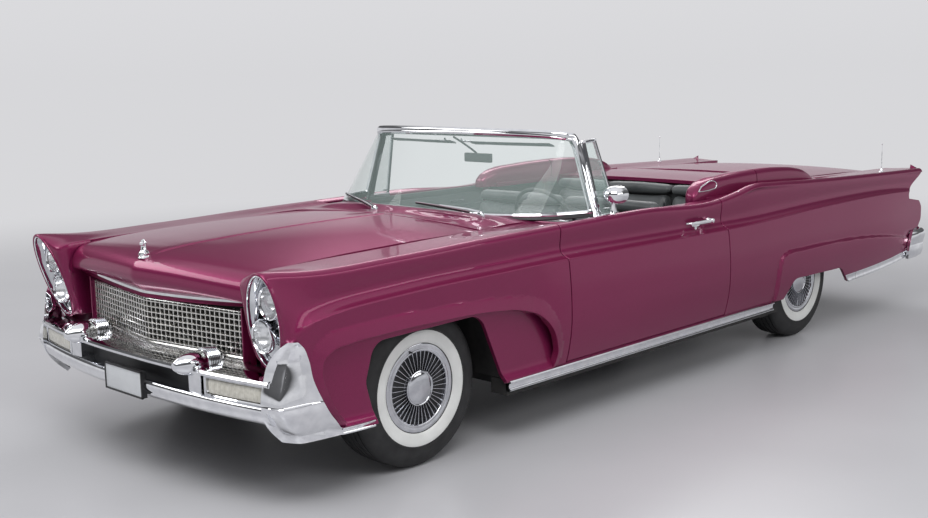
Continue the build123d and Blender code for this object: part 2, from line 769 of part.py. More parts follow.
def front_suspension():
    """Upper and lower arms of each front wheel with the spring between them."""
    body = None
    for side in (-1, 1):
        low = block(470, steer_axis_x + 14, front_axle_y - 26, front_axle_y + 26, 206, 227.5)
        high = block(470, steer_axis_x + 14, front_axle_y - 26, front_axle_y + 26, 484.5, 504)
        pin = rod((steer_axis_x, front_axle_y, 100), (steer_axis_x, front_axle_y, 700), pin_radius + pin_play)
        low = low - pin
        high = high - pin
        spring = bar((540, front_axle_y, 227.5), (540, front_axle_y, 484.5), 46)
        part = one(low, high, spring)
        part = part if side > 0 else other_side(part)
        body = part if body is None else body + part
    return body


def rear_axle():
    half = track / 2
    tube = rod((-half - 40, rear_axle_y, tyre_radius), (half + 40, rear_axle_y, tyre_radius), spindle_radius)
    casing = bar((-half + 60, rear_axle_y, tyre_radius), (half - 60, rear_axle_y, tyre_radius), 42)
    differential = faceted_ball((0, rear_axle_y, tyre_radius), 100)
    body = one(tube, casing, differential)
    for side in (-1, 1):
        body = body + bar((480 * side, rear_axle_y, tyre_radius), (480 * side, rear_axle_y, 430), 52)
    return body


def exhaust():
    body = None
    for side in (-1, 1):
        x = 300 * side
        pipe = bar((x, -1300, 190), (x, 760, 190), 26)
        muffler = bar((x, -300, 190), (x, 400, 190), 44)
        rise = bar((x, 760, 190), (x, 1250, 235), 26)
        low = bar((x, 1250, 235), (x, 1700, 235), 26)
        tail = bar((x, 1700, 235), (x, tail_y - 148, 330), 26)
        hanger = block(x - 12, x + 12, -700, -680, 195, floor_z)
        hanger_rear = block(x - 12, x + 12, 2400, 2420, 300, trunk_floor_z)
        piece = one(pipe, muffler, rise, low, tail, hanger, hanger_rear)
        body = piece if body is None else body + piece
    return body


def engine_block():
    return block(-290, 290, -2380, -1480, 330, 860) + block(-450, 450, -2080, -2000, 400, 440)


antenna_y = 2392


def antennas():
    """A mast on the top of each rear fender."""
    row = side_row(antenna_y)
    x = row[4] - shoulder_round - 17
    z = row[5] + 0.2
    foot = bar((x, antenna_y, z), (x, antenna_y, z + 20), 13, 8)
    mast = bar((x, antenna_y, z + 20), (x, antenna_y, z + 192), 3, 6)
    aerial = foot + mast
    return aerial + other_side(aerial)


# ---------------------------------------------------------------- write the nodes
def main():
    quarter = rear_quarter()
    cowl = cowl_panel()
    screen_frame = windshield_frame(cowl)
    structure = underbody() - tyre_slots()
    pairs = {
        "front_fender": front_fender(),
        "rear_quarter": quarter,
        "door": door(),
        "vent_window": vent_window() - door(),
        "knuckle": knuckle(),
    }
    for name, shape in pairs.items():
        save(name + "_left", shape)
        save(name + "_right", other_side(shape))
    fairing = side_fairing() - quarter
    singles = {
        "underbody": structure,
        "cowl_panel": cowl,
        "front_panel": front_panel(),
        "grille": grille(),
        "front_bumper": front_bumper(),
        "headlamps": headlamps(),
        "windshield_frame": screen_frame,
        "windshield_glass": windshield_glass(screen_frame),
        "wipers": wipers(cowl),
        "dashboard": dashboard(),
        "steering_column": steering_column(),
        "steering_wheel": steering_wheel(),
        "front_seat": front_seat(),
        "rear_seat": rear_seat(),
        "side_fairings": fairing + other_side(fairing),
        "tail_panel": tail_panel(),
        "tail_lamps": tail_lamps(),
        "rear_bumper": rear_bumper(),
        "hood": hood(),
        "deck_lid": deck_lid(),
        "stowage_lid": stowage_lid(),
        "door_mirror": door_mirror() - door(),
        "front_suspension": front_suspension(),
        "rear_axle": rear_axle(),
        "exhaust": exhaust(),
        "engine_block": engine_block(),
        "antennas": antennas(),
    }
    for name, shape in singles.items():
        save(name, shape)
    for place, y in (("front", front_axle_y), ("rear", rear_axle_y)):
        for name, side in (("left", 1), ("right", -1)):
            save(f"tyre_{place}_{name}", tyre(side * track / 2, y))
            save(f"wheel_{place}_{name}", wheel(side, track / 2, y))


main()
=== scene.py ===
import math

import bmesh
import bpy
import numpy as np
from mathutils import Matrix, Vector
from mathutils.geometry import delaunay_2d_cdt


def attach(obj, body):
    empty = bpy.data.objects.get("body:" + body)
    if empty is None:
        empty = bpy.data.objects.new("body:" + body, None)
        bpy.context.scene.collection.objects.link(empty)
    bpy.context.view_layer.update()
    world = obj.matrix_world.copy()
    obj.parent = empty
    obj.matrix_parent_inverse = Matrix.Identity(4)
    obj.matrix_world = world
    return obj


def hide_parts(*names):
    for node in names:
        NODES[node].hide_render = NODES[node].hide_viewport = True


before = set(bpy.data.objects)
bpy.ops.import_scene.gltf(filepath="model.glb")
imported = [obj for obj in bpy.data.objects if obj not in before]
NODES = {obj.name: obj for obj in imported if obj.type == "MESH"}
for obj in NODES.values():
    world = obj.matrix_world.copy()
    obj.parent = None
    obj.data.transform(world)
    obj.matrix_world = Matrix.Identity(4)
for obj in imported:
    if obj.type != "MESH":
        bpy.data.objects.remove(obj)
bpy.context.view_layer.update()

# Full-size two-door convertible of the late 1950s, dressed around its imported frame.
# Metres. +Z up, the nose faces -Y, the driver's side is +X.
PI = math.pi

# ---------------------------------------------------------------- sizes shared with the frame
FRONT_AXLE_Y = -1.969
REAR_AXLE_Y = 1.358
TRACK_HALF = 0.7745
DOOR_FRONT_Y, DOOR_REAR_Y, DOOR_BOTTOM_Z = -1.084, 0.317, 0.318
PANEL_GAP = 0.006
SEAM_X = 0.705                  # fender and quarter tops end here, beside the hood and deck lid
CABIN_HALF = 0.862
DOOR_INNER_X = 0.868
COVE_X = 0.961                  # face of the recess round the front wheel
LID_SPLIT_Y = 1.606
HOOD_HALF = 0.699
HOOD_REAR_Y = -1.391
EDGE = 0.0025                   # radius of a folded panel edge
SHARP = math.radians(38)        # a sharper fold than this is shaded as an edge
SHOULDER_ROUND = 0.028
WIDEST_Z, SILL_Z, SILL_TUCK = 0.560, 0.310, 0.040

SIDES = ((1, "left"), (-1, "right"))
CHAIN_STEP = 0.012              # usual spacing of the points on a panel's outline
X_AXIS, Y_AXIS, Z_AXIS = (1, 0, 0), (0, 1, 0), (0, 0, 1)
THIN = 0.0005                   # depth of a hidden fold, and radius of a turned part at its centre

# Body side, nose to tail: y, widest x, crest x, crest z, shoulder x, shoulder z, inner seam z
SIDE = (
    (-2.835, 0.950, 0.958, 0.742, 0.925, 0.986, 0.945),
    (-2.600, 0.985, 0.980, 0.782, 0.938, 0.962, 0.950),
    (-2.110, 1.006, 0.992, 0.812, 0.945, 0.962, 0.960),
    (-1.500, 1.012, 0.994, 0.819, 0.946, 0.976, 0.970),
    (-1.091, 1.013, 0.995, 0.822, 0.946, 0.982, 0.972),
    (-0.430, 1.013, 0.995, 0.815, 0.948, 0.989, 0.974),
    (0.323, 1.013, 0.995, 0.808, 0.950, 0.976, 0.972),
    (0.490, 1.013, 0.995, 0.808, 0.955, 0.999, 0.978),
    (0.650, 1.013, 0.996, 0.810, 0.960, 1.028, 0.985),
    (0.900, 1.013, 0.997, 0.816, 0.963, 1.024, 0.986),
    (1.240, 1.013, 0.998, 0.826, 0.966, 1.008, 0.985),
    (1.606, 1.013, 0.998, 0.832, 0.968, 0.994, 0.978),
    (2.400, 1.010, 0.997, 0.828, 0.974, 0.971, 0.960),
    (2.909, 0.985, 0.985, 0.808, 0.982, 0.960, 0.950),
)


# ---------------------------------------------------------------- curves
def distance_along(points):
    return np.concatenate([[0], np.cumsum(np.linalg.norm(np.diff(points, axis=0), axis=1))])


def hermite(knots, values, x):
    """Smooth curve through the knots, evaluated at x, with end slopes kept straight."""
    k, v = np.asarray(knots, float), np.asarray(values, float)
    x = np.clip(np.asarray(x, float), k[0], k[-1])
    slope = np.gradient(v, k)
    i = np.clip(np.searchsorted(k, x, side="right") - 1, 0, len(k) - 2)
    h = k[i + 1] - k[i]
    u = (x - k[i]) / h
    a, b = 2 * u**3 - 3 * u**2 + 1, u**3 - 2 * u**2 + u
    c, d = 3 * u**2 - 2 * u**3, u**3 - u**2
    return a * v[i] + b * h * slope[i] + c * v[i + 1] + d * h * slope[i + 1]


def curve(points, step=CHAIN_STEP):
    """Points at an even step along a smooth curve through the given ones."""
    p = np.array(points, float)
    length = distance_along(p)
    at = np.linspace(0, length[-1], max(2, int(round(length[-1] / step)) + 1))
    return row_at(np.column_stack([length, p]), at).T


def straight(points, step=CHAIN_STEP):
    """Points at an even step along straight runs."""
    out = []
    for a, b in zip(points, points[1:]):
        a, b = np.asarray(a, float), np.asarray(b, float)
        count = max(1, int(math.ceil(np.linalg.norm(b - a) / step)))
        out += [a + (b - a) * i / count for i in range(count)]
    return np.array(out + [np.asarray(points[-1], float)])


def row_at(table, x):
    """The row of a table at x, with its first column as the smooth curves' knots and left out."""
    table = np.asarray(table, float)
    return np.array([hermite(table[:, 0], column, x) for column in table[:, 1:].T])


def rounded(points, radius, step=CHAIN_STEP):
    """A polyline whose inner corners are arcs; radius is one number or one for each inner corner."""
    p = [np.asarray(q, float) for q in points]
    radii = [radius] * (len(p) - 2) if np.isscalar(radius) else list(radius)
    out = [p[0]]
    for a, b, c, r in zip(p, p[1:], p[2:], radii):
        u, v = (a - b) / np.linalg.norm(a - b), (c - b) / np.linalg.norm(c - b)
        half = math.acos(max(-1, min(1, float(u @ v)))) / 2
        reach = r / math.tan(half) if r else 0
        if reach < 1e-6:
            out.append(b)
            continue
        start, end = b + u * reach, b + v * reach
        middle = b + (u + v) / np.linalg.norm(u + v) * (r / math.sin(half))
        turn = PI - 2 * half
        count = max(2, int(math.ceil(turn * r / step)))
        for i in range(count + 1):
            s = i / count
            q = (start - middle) * math.sin((1 - s) * turn) + (end - middle) * math.sin(s * turn)
            out.append(middle + q / math.sin(turn))
    return straight([*out, p[-1]], step)


def smooth(x):
    x = np.clip(x, 0, 1)
    return x * x * (3 - 2 * x)


# ---------------------------------------------------------------- pieces
def as_one(made):
    return joined(made) if isinstance(made, list) else made


def piece(name, made, finish, body="root", slot=None, replaces=()):
    """A mesh object that rides on a body. made is (verts, faces), maybe with normals, or a list of such."""
    slot = slot or SLOTS[finish.name]
    verts, faces, *normals = as_one(made)
    mesh = bpy.data.meshes.new(name)
    mesh.from_pydata([tuple(map(float, v)) for v in verts], [], [tuple(int(i) for i in f) for f in faces])
    mesh.validate()
    mesh.shade_smooth()
    if normals:
        mesh.normals_split_custom_set_from_vertices([tuple(map(float, n)) for n in normals[0]])
    else:
        mesh.set_sharp_from_angle(angle=SHARP)
    obj = bpy.data.objects.new(name, mesh)
    bpy.context.scene.collection.objects.link(obj)
    obj.data.materials.append(finish)
    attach(obj, body)
    if replaces:
        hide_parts(*replaces)
    return obj


def pair(name, made, finish, body="root", replaces=None):
    """A piece made on the driver's side and its mirror image; {} in body stands for left and right."""
    for side, label in SIDES:
        nodes = (f"{replaces}_{label}",) if replaces else ()
        piece(f"{name}_{label}", for_side(made, side), finish, body.format(label), replaces=nodes)


def joined(parts):
    """One (verts, faces) or (verts, faces, normals) out of several."""
    faces, base = [], 0
    for part in parts:
        faces += [tuple(i + base for i in face) for face in part[1]]
        base += len(part[0])
    verts, *normals = (np.concatenate([np.reshape(part[k], (-1, 3)) for part in parts])
                       for k in range(0, len(parts[0]), 2))
    return verts, faces, *normals


def mirrored(made):
    verts, faces, *normals = as_one(made)
    return (np.asarray(verts) * (-1, 1, 1), [tuple(f)[::-1] for f in faces],
            *(np.asarray(n) * (-1, 1, 1) for n in normals))


def for_side(made, side):
    return as_one(made) if side > 0 else mirrored(made)


def both(made):
    """The mirror image of a shape and the shape itself."""
    return [mirrored(made), made]


def turned(made):
    """The same shape with its faces turned round."""
    return made[0], [f[::-1] for f in made[1]]


def unit(v):
    v = np.asarray(v, float)
    return v / np.maximum(np.linalg.norm(v, axis=-1, keepdims=True), 1e-12)


def surface_normals(surface, u, v):
    h = 0.001
    du = surface(u + h, v) - surface(u - h, v)
    dv = surface(u, v + h) - surface(u, v - h)
    return unit(np.cross(du, dv))


def inside(points, loop):
    """Which points lie inside the closed loop."""
    x, y = points[:, 0][:, None], points[:, 1][:, None]
    x0, y0 = loop[:, 0][None], loop[:, 1][None]
    x1, y1 = np.roll(loop, -1, axis=0).T[:, None]
    crosses = (y0 > y) != (y1 > y)
    with np.errstate(divide="ignore", invalid="ignore"):
        at = x0 + (y - y0) / (y1 - y0) * (x1 - x0)
    return (np.sum(crosses & (x < at), axis=1) % 2) == 1


def distance_to(points, chain, closed=False):
    """Distance of each point to a chain of points."""
    a = chain
    b = np.roll(chain, -1, axis=0) if closed else chain[1:]
    a = a if closed else a[:-1]
    best = np.full(len(points), 1e9)
    for k in range(0, len(points), 4000):
        p = points[k:k + 4000][:, None]
        d = b - a
        s = np.clip(np.sum((p - a) * d, axis=2) / np.maximum(np.sum(d * d, axis=1), 1e-12), 0, 1)
        best[k:k + 4000] = np.sqrt(np.min(np.sum((p - a - s[..., None] * d) ** 2, axis=2), axis=1))
    return best


PANEL_CLEAR = 0.004             # inner points keep this far from the outline
FOLD_ANGLES = (30, 60, 90)


def panel(loop, surface, us, vs, hem=0.014):
    """A sheet metal panel: a triangulated domain on a smooth surface, its edge folded over inwards.

    loop is the closed outline in the surface's own (u, v), us and vs the lines of inner points,
    hem the depth of the folded edge, as a number or a function of (u, v)."""
    loop = np.asarray(loop, float)
    grid = np.array([(u, v) for u in us for v in vs])
    grid = grid[inside(grid, loop)]
    grid = grid[distance_to(grid, loop, closed=True) > PANEL_CLEAR]
    points = np.concatenate([loop, grid])
    count = len(loop)
    edges = [(i, (i + 1) % count) for i in range(count)]
    co, _, faces, origin, _, _ = delaunay_2d_cdt([Vector(p) for p in points], edges, [], 1, 1e-6)
    domain = np.array([(p.x, p.y) for p in co])
    verts = surface(domain[:, 0], domain[:, 1])
    normals = surface_normals(surface, domain[:, 0], domain[:, 1])
    faces = [tuple(f) for f in faces]
    first = {}
    for i, sources in enumerate(origin):
        for s in sources:
            first[s] = i
    ring = [first[i] for i in range(count)]
    area = 0.5 * np.sum(loop[:, 0] * np.roll(loop[:, 1], -1) - np.roll(loop[:, 0], -1) * loop[:, 1])
    p, n = verts[ring], normals[ring]
    along = unit(np.roll(p, -1, axis=0) - np.roll(p, 1, axis=0))
    out = unit(np.cross(along, n)) * (1 if area > 0 else -1)
    depth = np.array([hem(u, v) if callable(hem) else hem for u, v in loop])[:, None]
    rows, shade = [p], [n]
    for angle in FOLD_ANGLES:
        a = math.radians(angle)
        rows.append(p + out * EDGE * math.sin(a) - n * EDGE * (1 - math.cos(a)))
        shade.append(unit(n * math.cos(a) + out * math.sin(a)))
    rows.append(rows[-1] - n * depth)
    shade.append(shade[-1])
    all_verts, all_normals = [verts], [normals]
    previous = ring
    base = len(verts)
    for row, tone in zip(rows[1:], shade[1:]):
        current = list(range(base, base + count))
        for i in range(count):
            j = (i + 1) % count
            quad = (previous[i], current[i], current[j], previous[j])
            faces.append(quad if area > 0 else quad[::-1])
        all_verts.append(row)
        all_normals.append(tone)
        previous, base = current, base + count
    return np.concatenate(all_verts), faces, np.concatenate(all_normals)


def grid_faces(rows, columns, close_columns=False):
    faces = []
    wide = columns if close_columns else columns - 1
    for i in range(rows - 1):
        for j in range(wide):
            k = (j + 1) % columns
            faces.append((i * columns + j, i * columns + k, (i + 1) * columns + k, (i + 1) * columns + j))
    return faces


def loft(rings, caps=False):
    """Quads between closed rings of equally many points."""
    n = len(rings[0])
    faces = grid_faces(len(rings), n, True)
    if caps:
        faces.append(tuple(range(n))[::-1])
        faces.append(tuple(range((len(rings) - 1) * n, len(rings) * n)))
    return np.concatenate([np.asarray(r, float) for r in rings]), faces


def solid(rings):
    return loft(rings, True)


def at_x(x, section):
    """A ring of (y, z) points moved out to x."""
    return np.column_stack([np.full(len(section), x), section])


def extruded(section, x0, x1, count):
    """A (y, z) outline carried from x0 to x1."""
    return solid([at_x(x, section) for x in np.linspace(x0, x1, count)])


def along_y(section, ys):
    """An (x, z) outline carried along y."""
    return solid([[(x, y, z) for x, z in section] for y in ys])


def frames_along(path, up):
    """Tangent, side and upper direction at each point of a path."""
    p = np.asarray(path, float)
    t = unit(np.gradient(p, axis=0))
    side = unit(np.cross(t, np.asarray(up, float)))
    return t, side, np.cross(side, t)


def sweep(path, section, up=Z_AXIS, caps=True, scale=None):
    """A section of (side, up) points carried along a path."""
    path = np.asarray(path, float)
    _, side, top = frames_along(path, up)
    section = np.asarray(section, float)
    scale = np.ones(len(path)) if scale is None else np.asarray(scale, float)
    rings = [path[i] + (section[:, :1] * side[i] + section[:, 1:] * top[i]) * scale[i]
             for i in range(len(path))]
    return loft(rings, caps)


def angles(count):
    return np.arange(count) * 2 * PI / count


def circle(radius, count, squash=1.0):
    a = angles(count)
    return np.stack([radius * np.cos(a), radius * squash * np.sin(a)], axis=1)


def tube(path, radius, count=12, up=Z_AXIS, scale=None, squash=1.0):
    return sweep(path, circle(radius, count, squash), up, True, scale)


def spun(profile, centre, axis, count):
    """A (radius, along) profile turned about an axis through centre."""
    axis = unit(axis)
    seed = np.array((0, 0, 1.0)) if abs(axis[2]) < 0.9 else np.array((1.0, 0, 0))
    u = unit(np.cross(seed, axis))
    w = np.cross(axis, u)
    rings = []
    a = angles(count)
    for radius, along in profile:
        rings.append(np.asarray(centre) + axis * along + radius
                     * (np.cos(a)[:, None] * u + np.sin(a)[:, None] * w))
    return loft(rings)


def box_mesh(x0, x1, y0, y1, z0, z1, bevel=0.0):
    """A block with bevelled edges."""
    bm = bmesh.new()
    bmesh.ops.create_cube(bm, size=1)
    for v in bm.verts:
        v.co = Vector(((x0 + x1) / 2 + v.co.x * (x1 - x0), (y0 + y1) / 2 + v.co.y * (y1 - y0),
                       (z0 + z1) / 2 + v.co.z * (z1 - z0)))
    if bevel:
        bmesh.ops.bevel(bm, geom=list(bm.edges), offset=bevel, segments=2, profile=0.7, affect="EDGES")
    verts = np.array([tuple(v.co) for v in bm.verts])
    faces = [tuple(v.index for v in f.verts) for f in bm.faces]
    bm.free()
    return verts, faces


# ---------------------------------------------------------------- materials
def set_inputs(node, **values):
    """Sets a node's inputs; _ stands for the space in a socket's name."""
    for socket, value in values.items():
        node.inputs[socket.replace("_", " ")].default_value = value


def add_node(tree, kind, links=(), **values):
    """A node whose inputs are values or, in links, other nodes' outputs."""
    node = tree.nodes.new("ShaderNode" + kind)
    set_inputs(node, **values)
    for socket, source in dict(links).items():
        tree.links.new(source, node.inputs[socket])
    return node


def nodes_for(name):
    mat = bpy.data.materials.new(name)
    mat.use_nodes = True
    tree = mat.node_tree
    return mat, tree, tree.nodes["Principled BSDF"]


def noise_of(tree, scale, detail=3.0):
    place = add_node(tree, "TexCoord")
    mapping = add_node(tree, "Mapping", {"Vector": place.outputs["Object"]})
    return add_node(tree, "TexNoise", {"Vector": mapping.outputs["Vector"]}, Scale=scale,
                    Detail=detail).outputs["Fac"]


def ramp_of(tree, source, low, high, at=(0.3, 0.7)):
    ramp = add_node(tree, "ValToRGB", {"Fac": source})
    for element, position, colour in zip(ramp.color_ramp.elements, at, (low, high)):
        element.position, element.color = position, (*colour, 1)
    return ramp.outputs["Color"]


def range_of(tree, source, low, high):
    return add_node(tree, "MapRange", {"Value": source}, To_Min=low, To_Max=high).outputs["Result"]


def bump_of(tree, shader, source, strength, distance):
    bump = add_node(tree, "Bump", {"Height": source}, Strength=strength, Distance=distance)
    tree.links.new(bump.outputs["Normal"], shader.inputs["Normal"])


def surface_finish(name, low, high, rough, metallic, scale, bump, depth=0.0005, bump_scale=None, **sockets):
    """A finish whose colour and gloss vary with fine noise, over a grain."""
    mat, tree, shader = nodes_for(name)
    noise = noise_of(tree, scale)
    tree.links.new(ramp_of(tree, noise, low, high), shader.inputs["Base Color"])
    tree.links.new(range_of(tree, noise, *rough), shader.inputs["Roughness"])
    bump_of(tree, shader, noise_of(tree, bump_scale or scale * 4, 6.0), bump, depth)
    set_inputs(shader, Metallic=metallic, **sockets)
    return mat


def paint_finish():
    """Rose metallic lacquer: fine flake under a clear coat, a faint orange peel on top."""
    mat, tree, shader = nodes_for("rose_metallic")
    place = add_node(tree, "TexCoord")
    flake = add_node(tree, "TexVoronoi", {"Vector": place.outputs["Object"]}, Scale=900).outputs["Distance"]
    tone = ramp_of(tree, flake, (0.272, 0.018, 0.101), (0.138, 0.006, 0.041), (0.1, 0.9))
    shade = ramp_of(tree, noise_of(tree, 1.3, 2.0), (0.92, 0.92, 0.92), (1, 1, 1))
    mix = tree.nodes.new("ShaderNodeMix")
    mix.data_type, mix.blend_type = "RGBA", "MULTIPLY"
    mix.inputs["Factor"].default_value = 1.0
    tree.links.new(tone, mix.inputs["A"])
    tree.links.new(shade, mix.inputs["B"])
    tree.links.new(mix.outputs["Result"], shader.inputs["Base Color"])
    tree.links.new(range_of(tree, flake, 0.30, 0.42), shader.inputs["Roughness"])
    set_inputs(shader, Metallic=0.50, Specular_Tint=(0.90, 0.42, 0.60, 1), Coat_Weight=0.56,
               Coat_Roughness=0.02)
    bump_of(tree, shader, noise_of(tree, 160, 2.0), 0.03, 0.0004)
    return mat


def chrome_finish(name="bright_chrome", low=(0.72, 0.73, 0.76), high=(0.86, 0.87, 0.89), rough=(0.02, 0.07)):
    return surface_finish(name, low, high, rough, 1.0, 22.0, bump=0.012, depth=0.0006, bump_scale=9.0)


def glass_finish(name, tint, rough=0.0, alpha=0.22):
    """Thin glass: mostly see-through, with a clear reflection."""
    mat, tree, shader = nodes_for(name)
    pale = tuple(min(1, c * 1.06) for c in tint)
    tree.links.new(ramp_of(tree, noise_of(tree, 3.0), tint, pale), shader.inputs["Base Color"])
    set_inputs(shader, Roughness=rough, IOR=1.5, Alpha=alpha, Coat_Weight=0.6, Coat_Roughness=0.0)
    return mat


def perforated_finish():
    """Chrome pressed with a fine square pattern of holes."""
    mat, tree, shader = nodes_for("perforated_chrome")
    place = add_node(tree, "TexCoord")
    cells = add_node(tree, "TexVoronoi", {"Vector": place.outputs["Object"]}, Scale=95,
                     Randomness=0.0).outputs["Distance"]
    # The holes are painted dark: painted shade where one would look through them.
    tone = ramp_of(tree, cells, (0.26, 0.26, 0.27), (0.78, 0.78, 0.80), (0.30, 0.46))
    tree.links.new(tone, shader.inputs["Base Color"])
    set_inputs(shader, Metallic=1.0, Roughness=0.16)
    bump_of(tree, shader, cells, 0.25, 0.001)
    return mat


PAINT = paint_finish()
CHROME = chrome_finish()
COVER_CHROME = chrome_finish("wheel_cover_chrome", (0.50, 0.51, 0.54), (0.64, 0.65, 0.68), (0.04, 0.10))
CHAMPAGNE = surface_finish("grille_silver", (0.70, 0.69, 0.66), (0.88, 0.87, 0.84), (0.20, 0.32), 1.0, 26.0,
                           bump=0.02)
# Black enamel for real black parts; the same black also serves as painted shade on the sheets behind the
# grilles and between the bumper bars.
BLACK = surface_finish("black_enamel_and_painted_shade", (0.008, 0.008, 0.009), (0.02, 0.02, 0.022), (0.35, 0.55), 0.0, 18.0,
                       bump=0.05)
UNDERSEAL = surface_finish("underseal", (0.012, 0.012, 0.013), (0.035, 0.033, 0.032), (0.75, 0.95), 0.0, 14.0,
                           bump=0.5, depth=0.002)
IRON = surface_finish("cast_iron", (0.05, 0.05, 0.055), (0.11, 0.105, 0.10), (0.55, 0.75), 0.6, 25.0,
                      bump=0.4, depth=0.001)
STEEL = surface_finish("ground_steel", (0.40, 0.40, 0.42), (0.56, 0.56, 0.58), (0.25, 0.40), 1.0, 60.0,
                       bump=0.05)
LEATHER = surface_finish("grey_leather", (0.046, 0.052, 0.054), (0.082, 0.091, 0.094), (0.36, 0.52), 0.0, 7.0,
                         bump=0.35, depth=0.0007, bump_scale=420.0, Sheen_Weight=0.12)
LEATHER_EDGE = surface_finish("grey_leather_welt", (0.035, 0.040, 0.042), (0.06, 0.066, 0.068), (0.42, 0.58),
                              0.0, 12.0, bump=0.3, depth=0.0005, bump_scale=500.0)
CARPET = surface_finish("dark_carpet", (0.016, 0.018, 0.019), (0.045, 0.048, 0.050), (0.92, 1.0), 0.0, 260.0,
                        bump=0.9, depth=0.003, bump_scale=700.0, Sheen_Weight=0.3)
PLASTIC = surface_finish("cabin_plastic", (0.030, 0.034, 0.036), (0.055, 0.061, 0.064), (0.34, 0.50), 0.0,
                         9.0, bump=0.2, depth=0.0004, bump_scale=350.0)
IVORY = surface_finish("ivory_plastic", (0.60, 0.57, 0.50), (0.70, 0.67, 0.60), (0.18, 0.28), 0.0, 12.0,
                       bump=0.02)
RUBBER = surface_finish("tyre_rubber", (0.010, 0.010, 0.011), (0.026, 0.026, 0.027), (0.58, 0.78), 0.0, 20.0,
                        bump=0.25, depth=0.0006, bump_scale=180.0)
WHITEWALL = surface_finish("whitewall_rubber", (0.70, 0.71, 0.69), (0.80, 0.81, 0.79), (0.45, 0.60), 0.0,
                           11.0, bump=0.06, depth=0.0005)
GLASS = glass_finish("windshield_glass_tint", (0.62, 0.78, 0.74))
CLEAR = glass_finish("clear_lens", (0.86, 0.88, 0.90), 0.03, 0.30)
PARKING = surface_finish("parking_lens", (0.56, 0.54, 0.46), (0.74, 0.72, 0.64), (0.10, 0.22), 0.0, 60.0,
                         bump=0.35, depth=0.001, bump_scale=120.0, Coat_Weight=1.0)
RED = surface_finish("red_lens", (0.20, 0.006, 0.008), (0.36, 0.012, 0.014), (0.08, 0.18), 0.0, 50.0,
                     bump=0.1, Coat_Weight=1.0)
PLATE = surface_finish("blank_plate", (0.62, 0.64, 0.66), (0.72, 0.74, 0.76), (0.35, 0.5), 0.0, 8.0,
                       bump=0.05)
REFLECTOR = surface_finish("lamp_reflector", (0.80, 0.81, 0.83), (0.93, 0.94, 0.95), (0.10, 0.18), 1.0, 90.0,
                           bump=0.2, bump_scale=60.0)
PERFORATED = perforated_finish()
ENGINE_PAINT = surface_finish("engine_enamel", (0.045, 0.085, 0.105), (0.070, 0.120, 0.145), (0.28, 0.45),
                              0.0, 16.0, bump=0.08)
RADIATOR_CORE = surface_finish("radiator_core", (0.020, 0.020, 0.020), (0.050, 0.047, 0.042), (0.5, 0.7), 0.3,
                               220.0, bump=0.6, depth=0.001)

# The material slot of a piece with each finish, where the piece doesn't name another.
SLOT_FINISHES = {"paint": (PAINT,), "chrome": (CHROME, COVER_CHROME, PERFORATED, REFLECTOR),
                 "grille_metal": (CHAMPAGNE,), "structure": (BLACK, UNDERSEAL, PLATE, RADIATOR_CORE),
                 "iron": (IRON, ENGINE_PAINT), "steel": (STEEL,), "leather": (LEATHER, LEATHER_EDGE, CARPET),
                 "cabin_plastic": (PLASTIC, IVORY), "tyre": (RUBBER, WHITEWALL), "glass": (GLASS,),
                 "lamp_glass": (CLEAR, PARKING, RED),}
SLOTS = {finish.name: slot for slot, finishes in SLOT_FINISHES.items() for finish in finishes}


# ---------------------------------------------------------------- body side
GRID_CREST, GRID_SHOULDER, GRID_KNEE = 0.82, 0.94, 0.60     # heights v of the crest, shoulder and lower side
ROUND_LENGTH = SHOULDER_ROUND * PI / 2


def side_values(y):
    return row_at(SIDE, y)


def height_of(y, v):
    """Height z of the line v of the side, and how far v is past the shoulder's start."""
    _, _, crest_z, _, shoulder_z, _ = side_values(y)
    start = shoulder_z - SHOULDER_ROUND
    low = GRID_KNEE + (v - GRID_KNEE) * (crest_z - GRID_KNEE) / (GRID_CREST - GRID_KNEE)
    high = crest_z + (v - GRID_CREST) * (start - crest_z) / (GRID_SHOULDER - GRID_CREST)
    z = np.where(v < GRID_KNEE, v, np.where(v < GRID_CREST, low, high))
    return np.minimum(z, start), np.maximum(v - GRID_SHOULDER, 0)


def line_at(y, z):
    """The v of a height z on the side."""
    _, _, crest_z, _, shoulder_z, _ = side_values(y)
    start = shoulder_z - SHOULDER_ROUND
    low = GRID_KNEE + (z - GRID_KNEE) / (crest_z - GRID_KNEE) * (GRID_CREST - GRID_KNEE)
    high = GRID_CREST + (z - crest_z) / (start - crest_z) * (GRID_SHOULDER - GRID_CREST)
    return np.where(z < GRID_KNEE, z, np.where(z < crest_z, low, high))


def top_line(y, inner_x):
    """The v at which the top of the side reaches inner_x."""
    shoulder_x = side_values(y)[3]
    return GRID_SHOULDER + ROUND_LENGTH + shoulder_x - SHOULDER_ROUND - inner_x


CREST_FADE = (-2.80, -2.40)     # the crest grows from nothing over this stretch
SIDE_STEP = 0.014
SIDE_BANDS = ((None, 0.78, 0.011), (0.78, 0.86, 0.004), (0.86, 0.935, 0.010))    # from v, to v, spacing


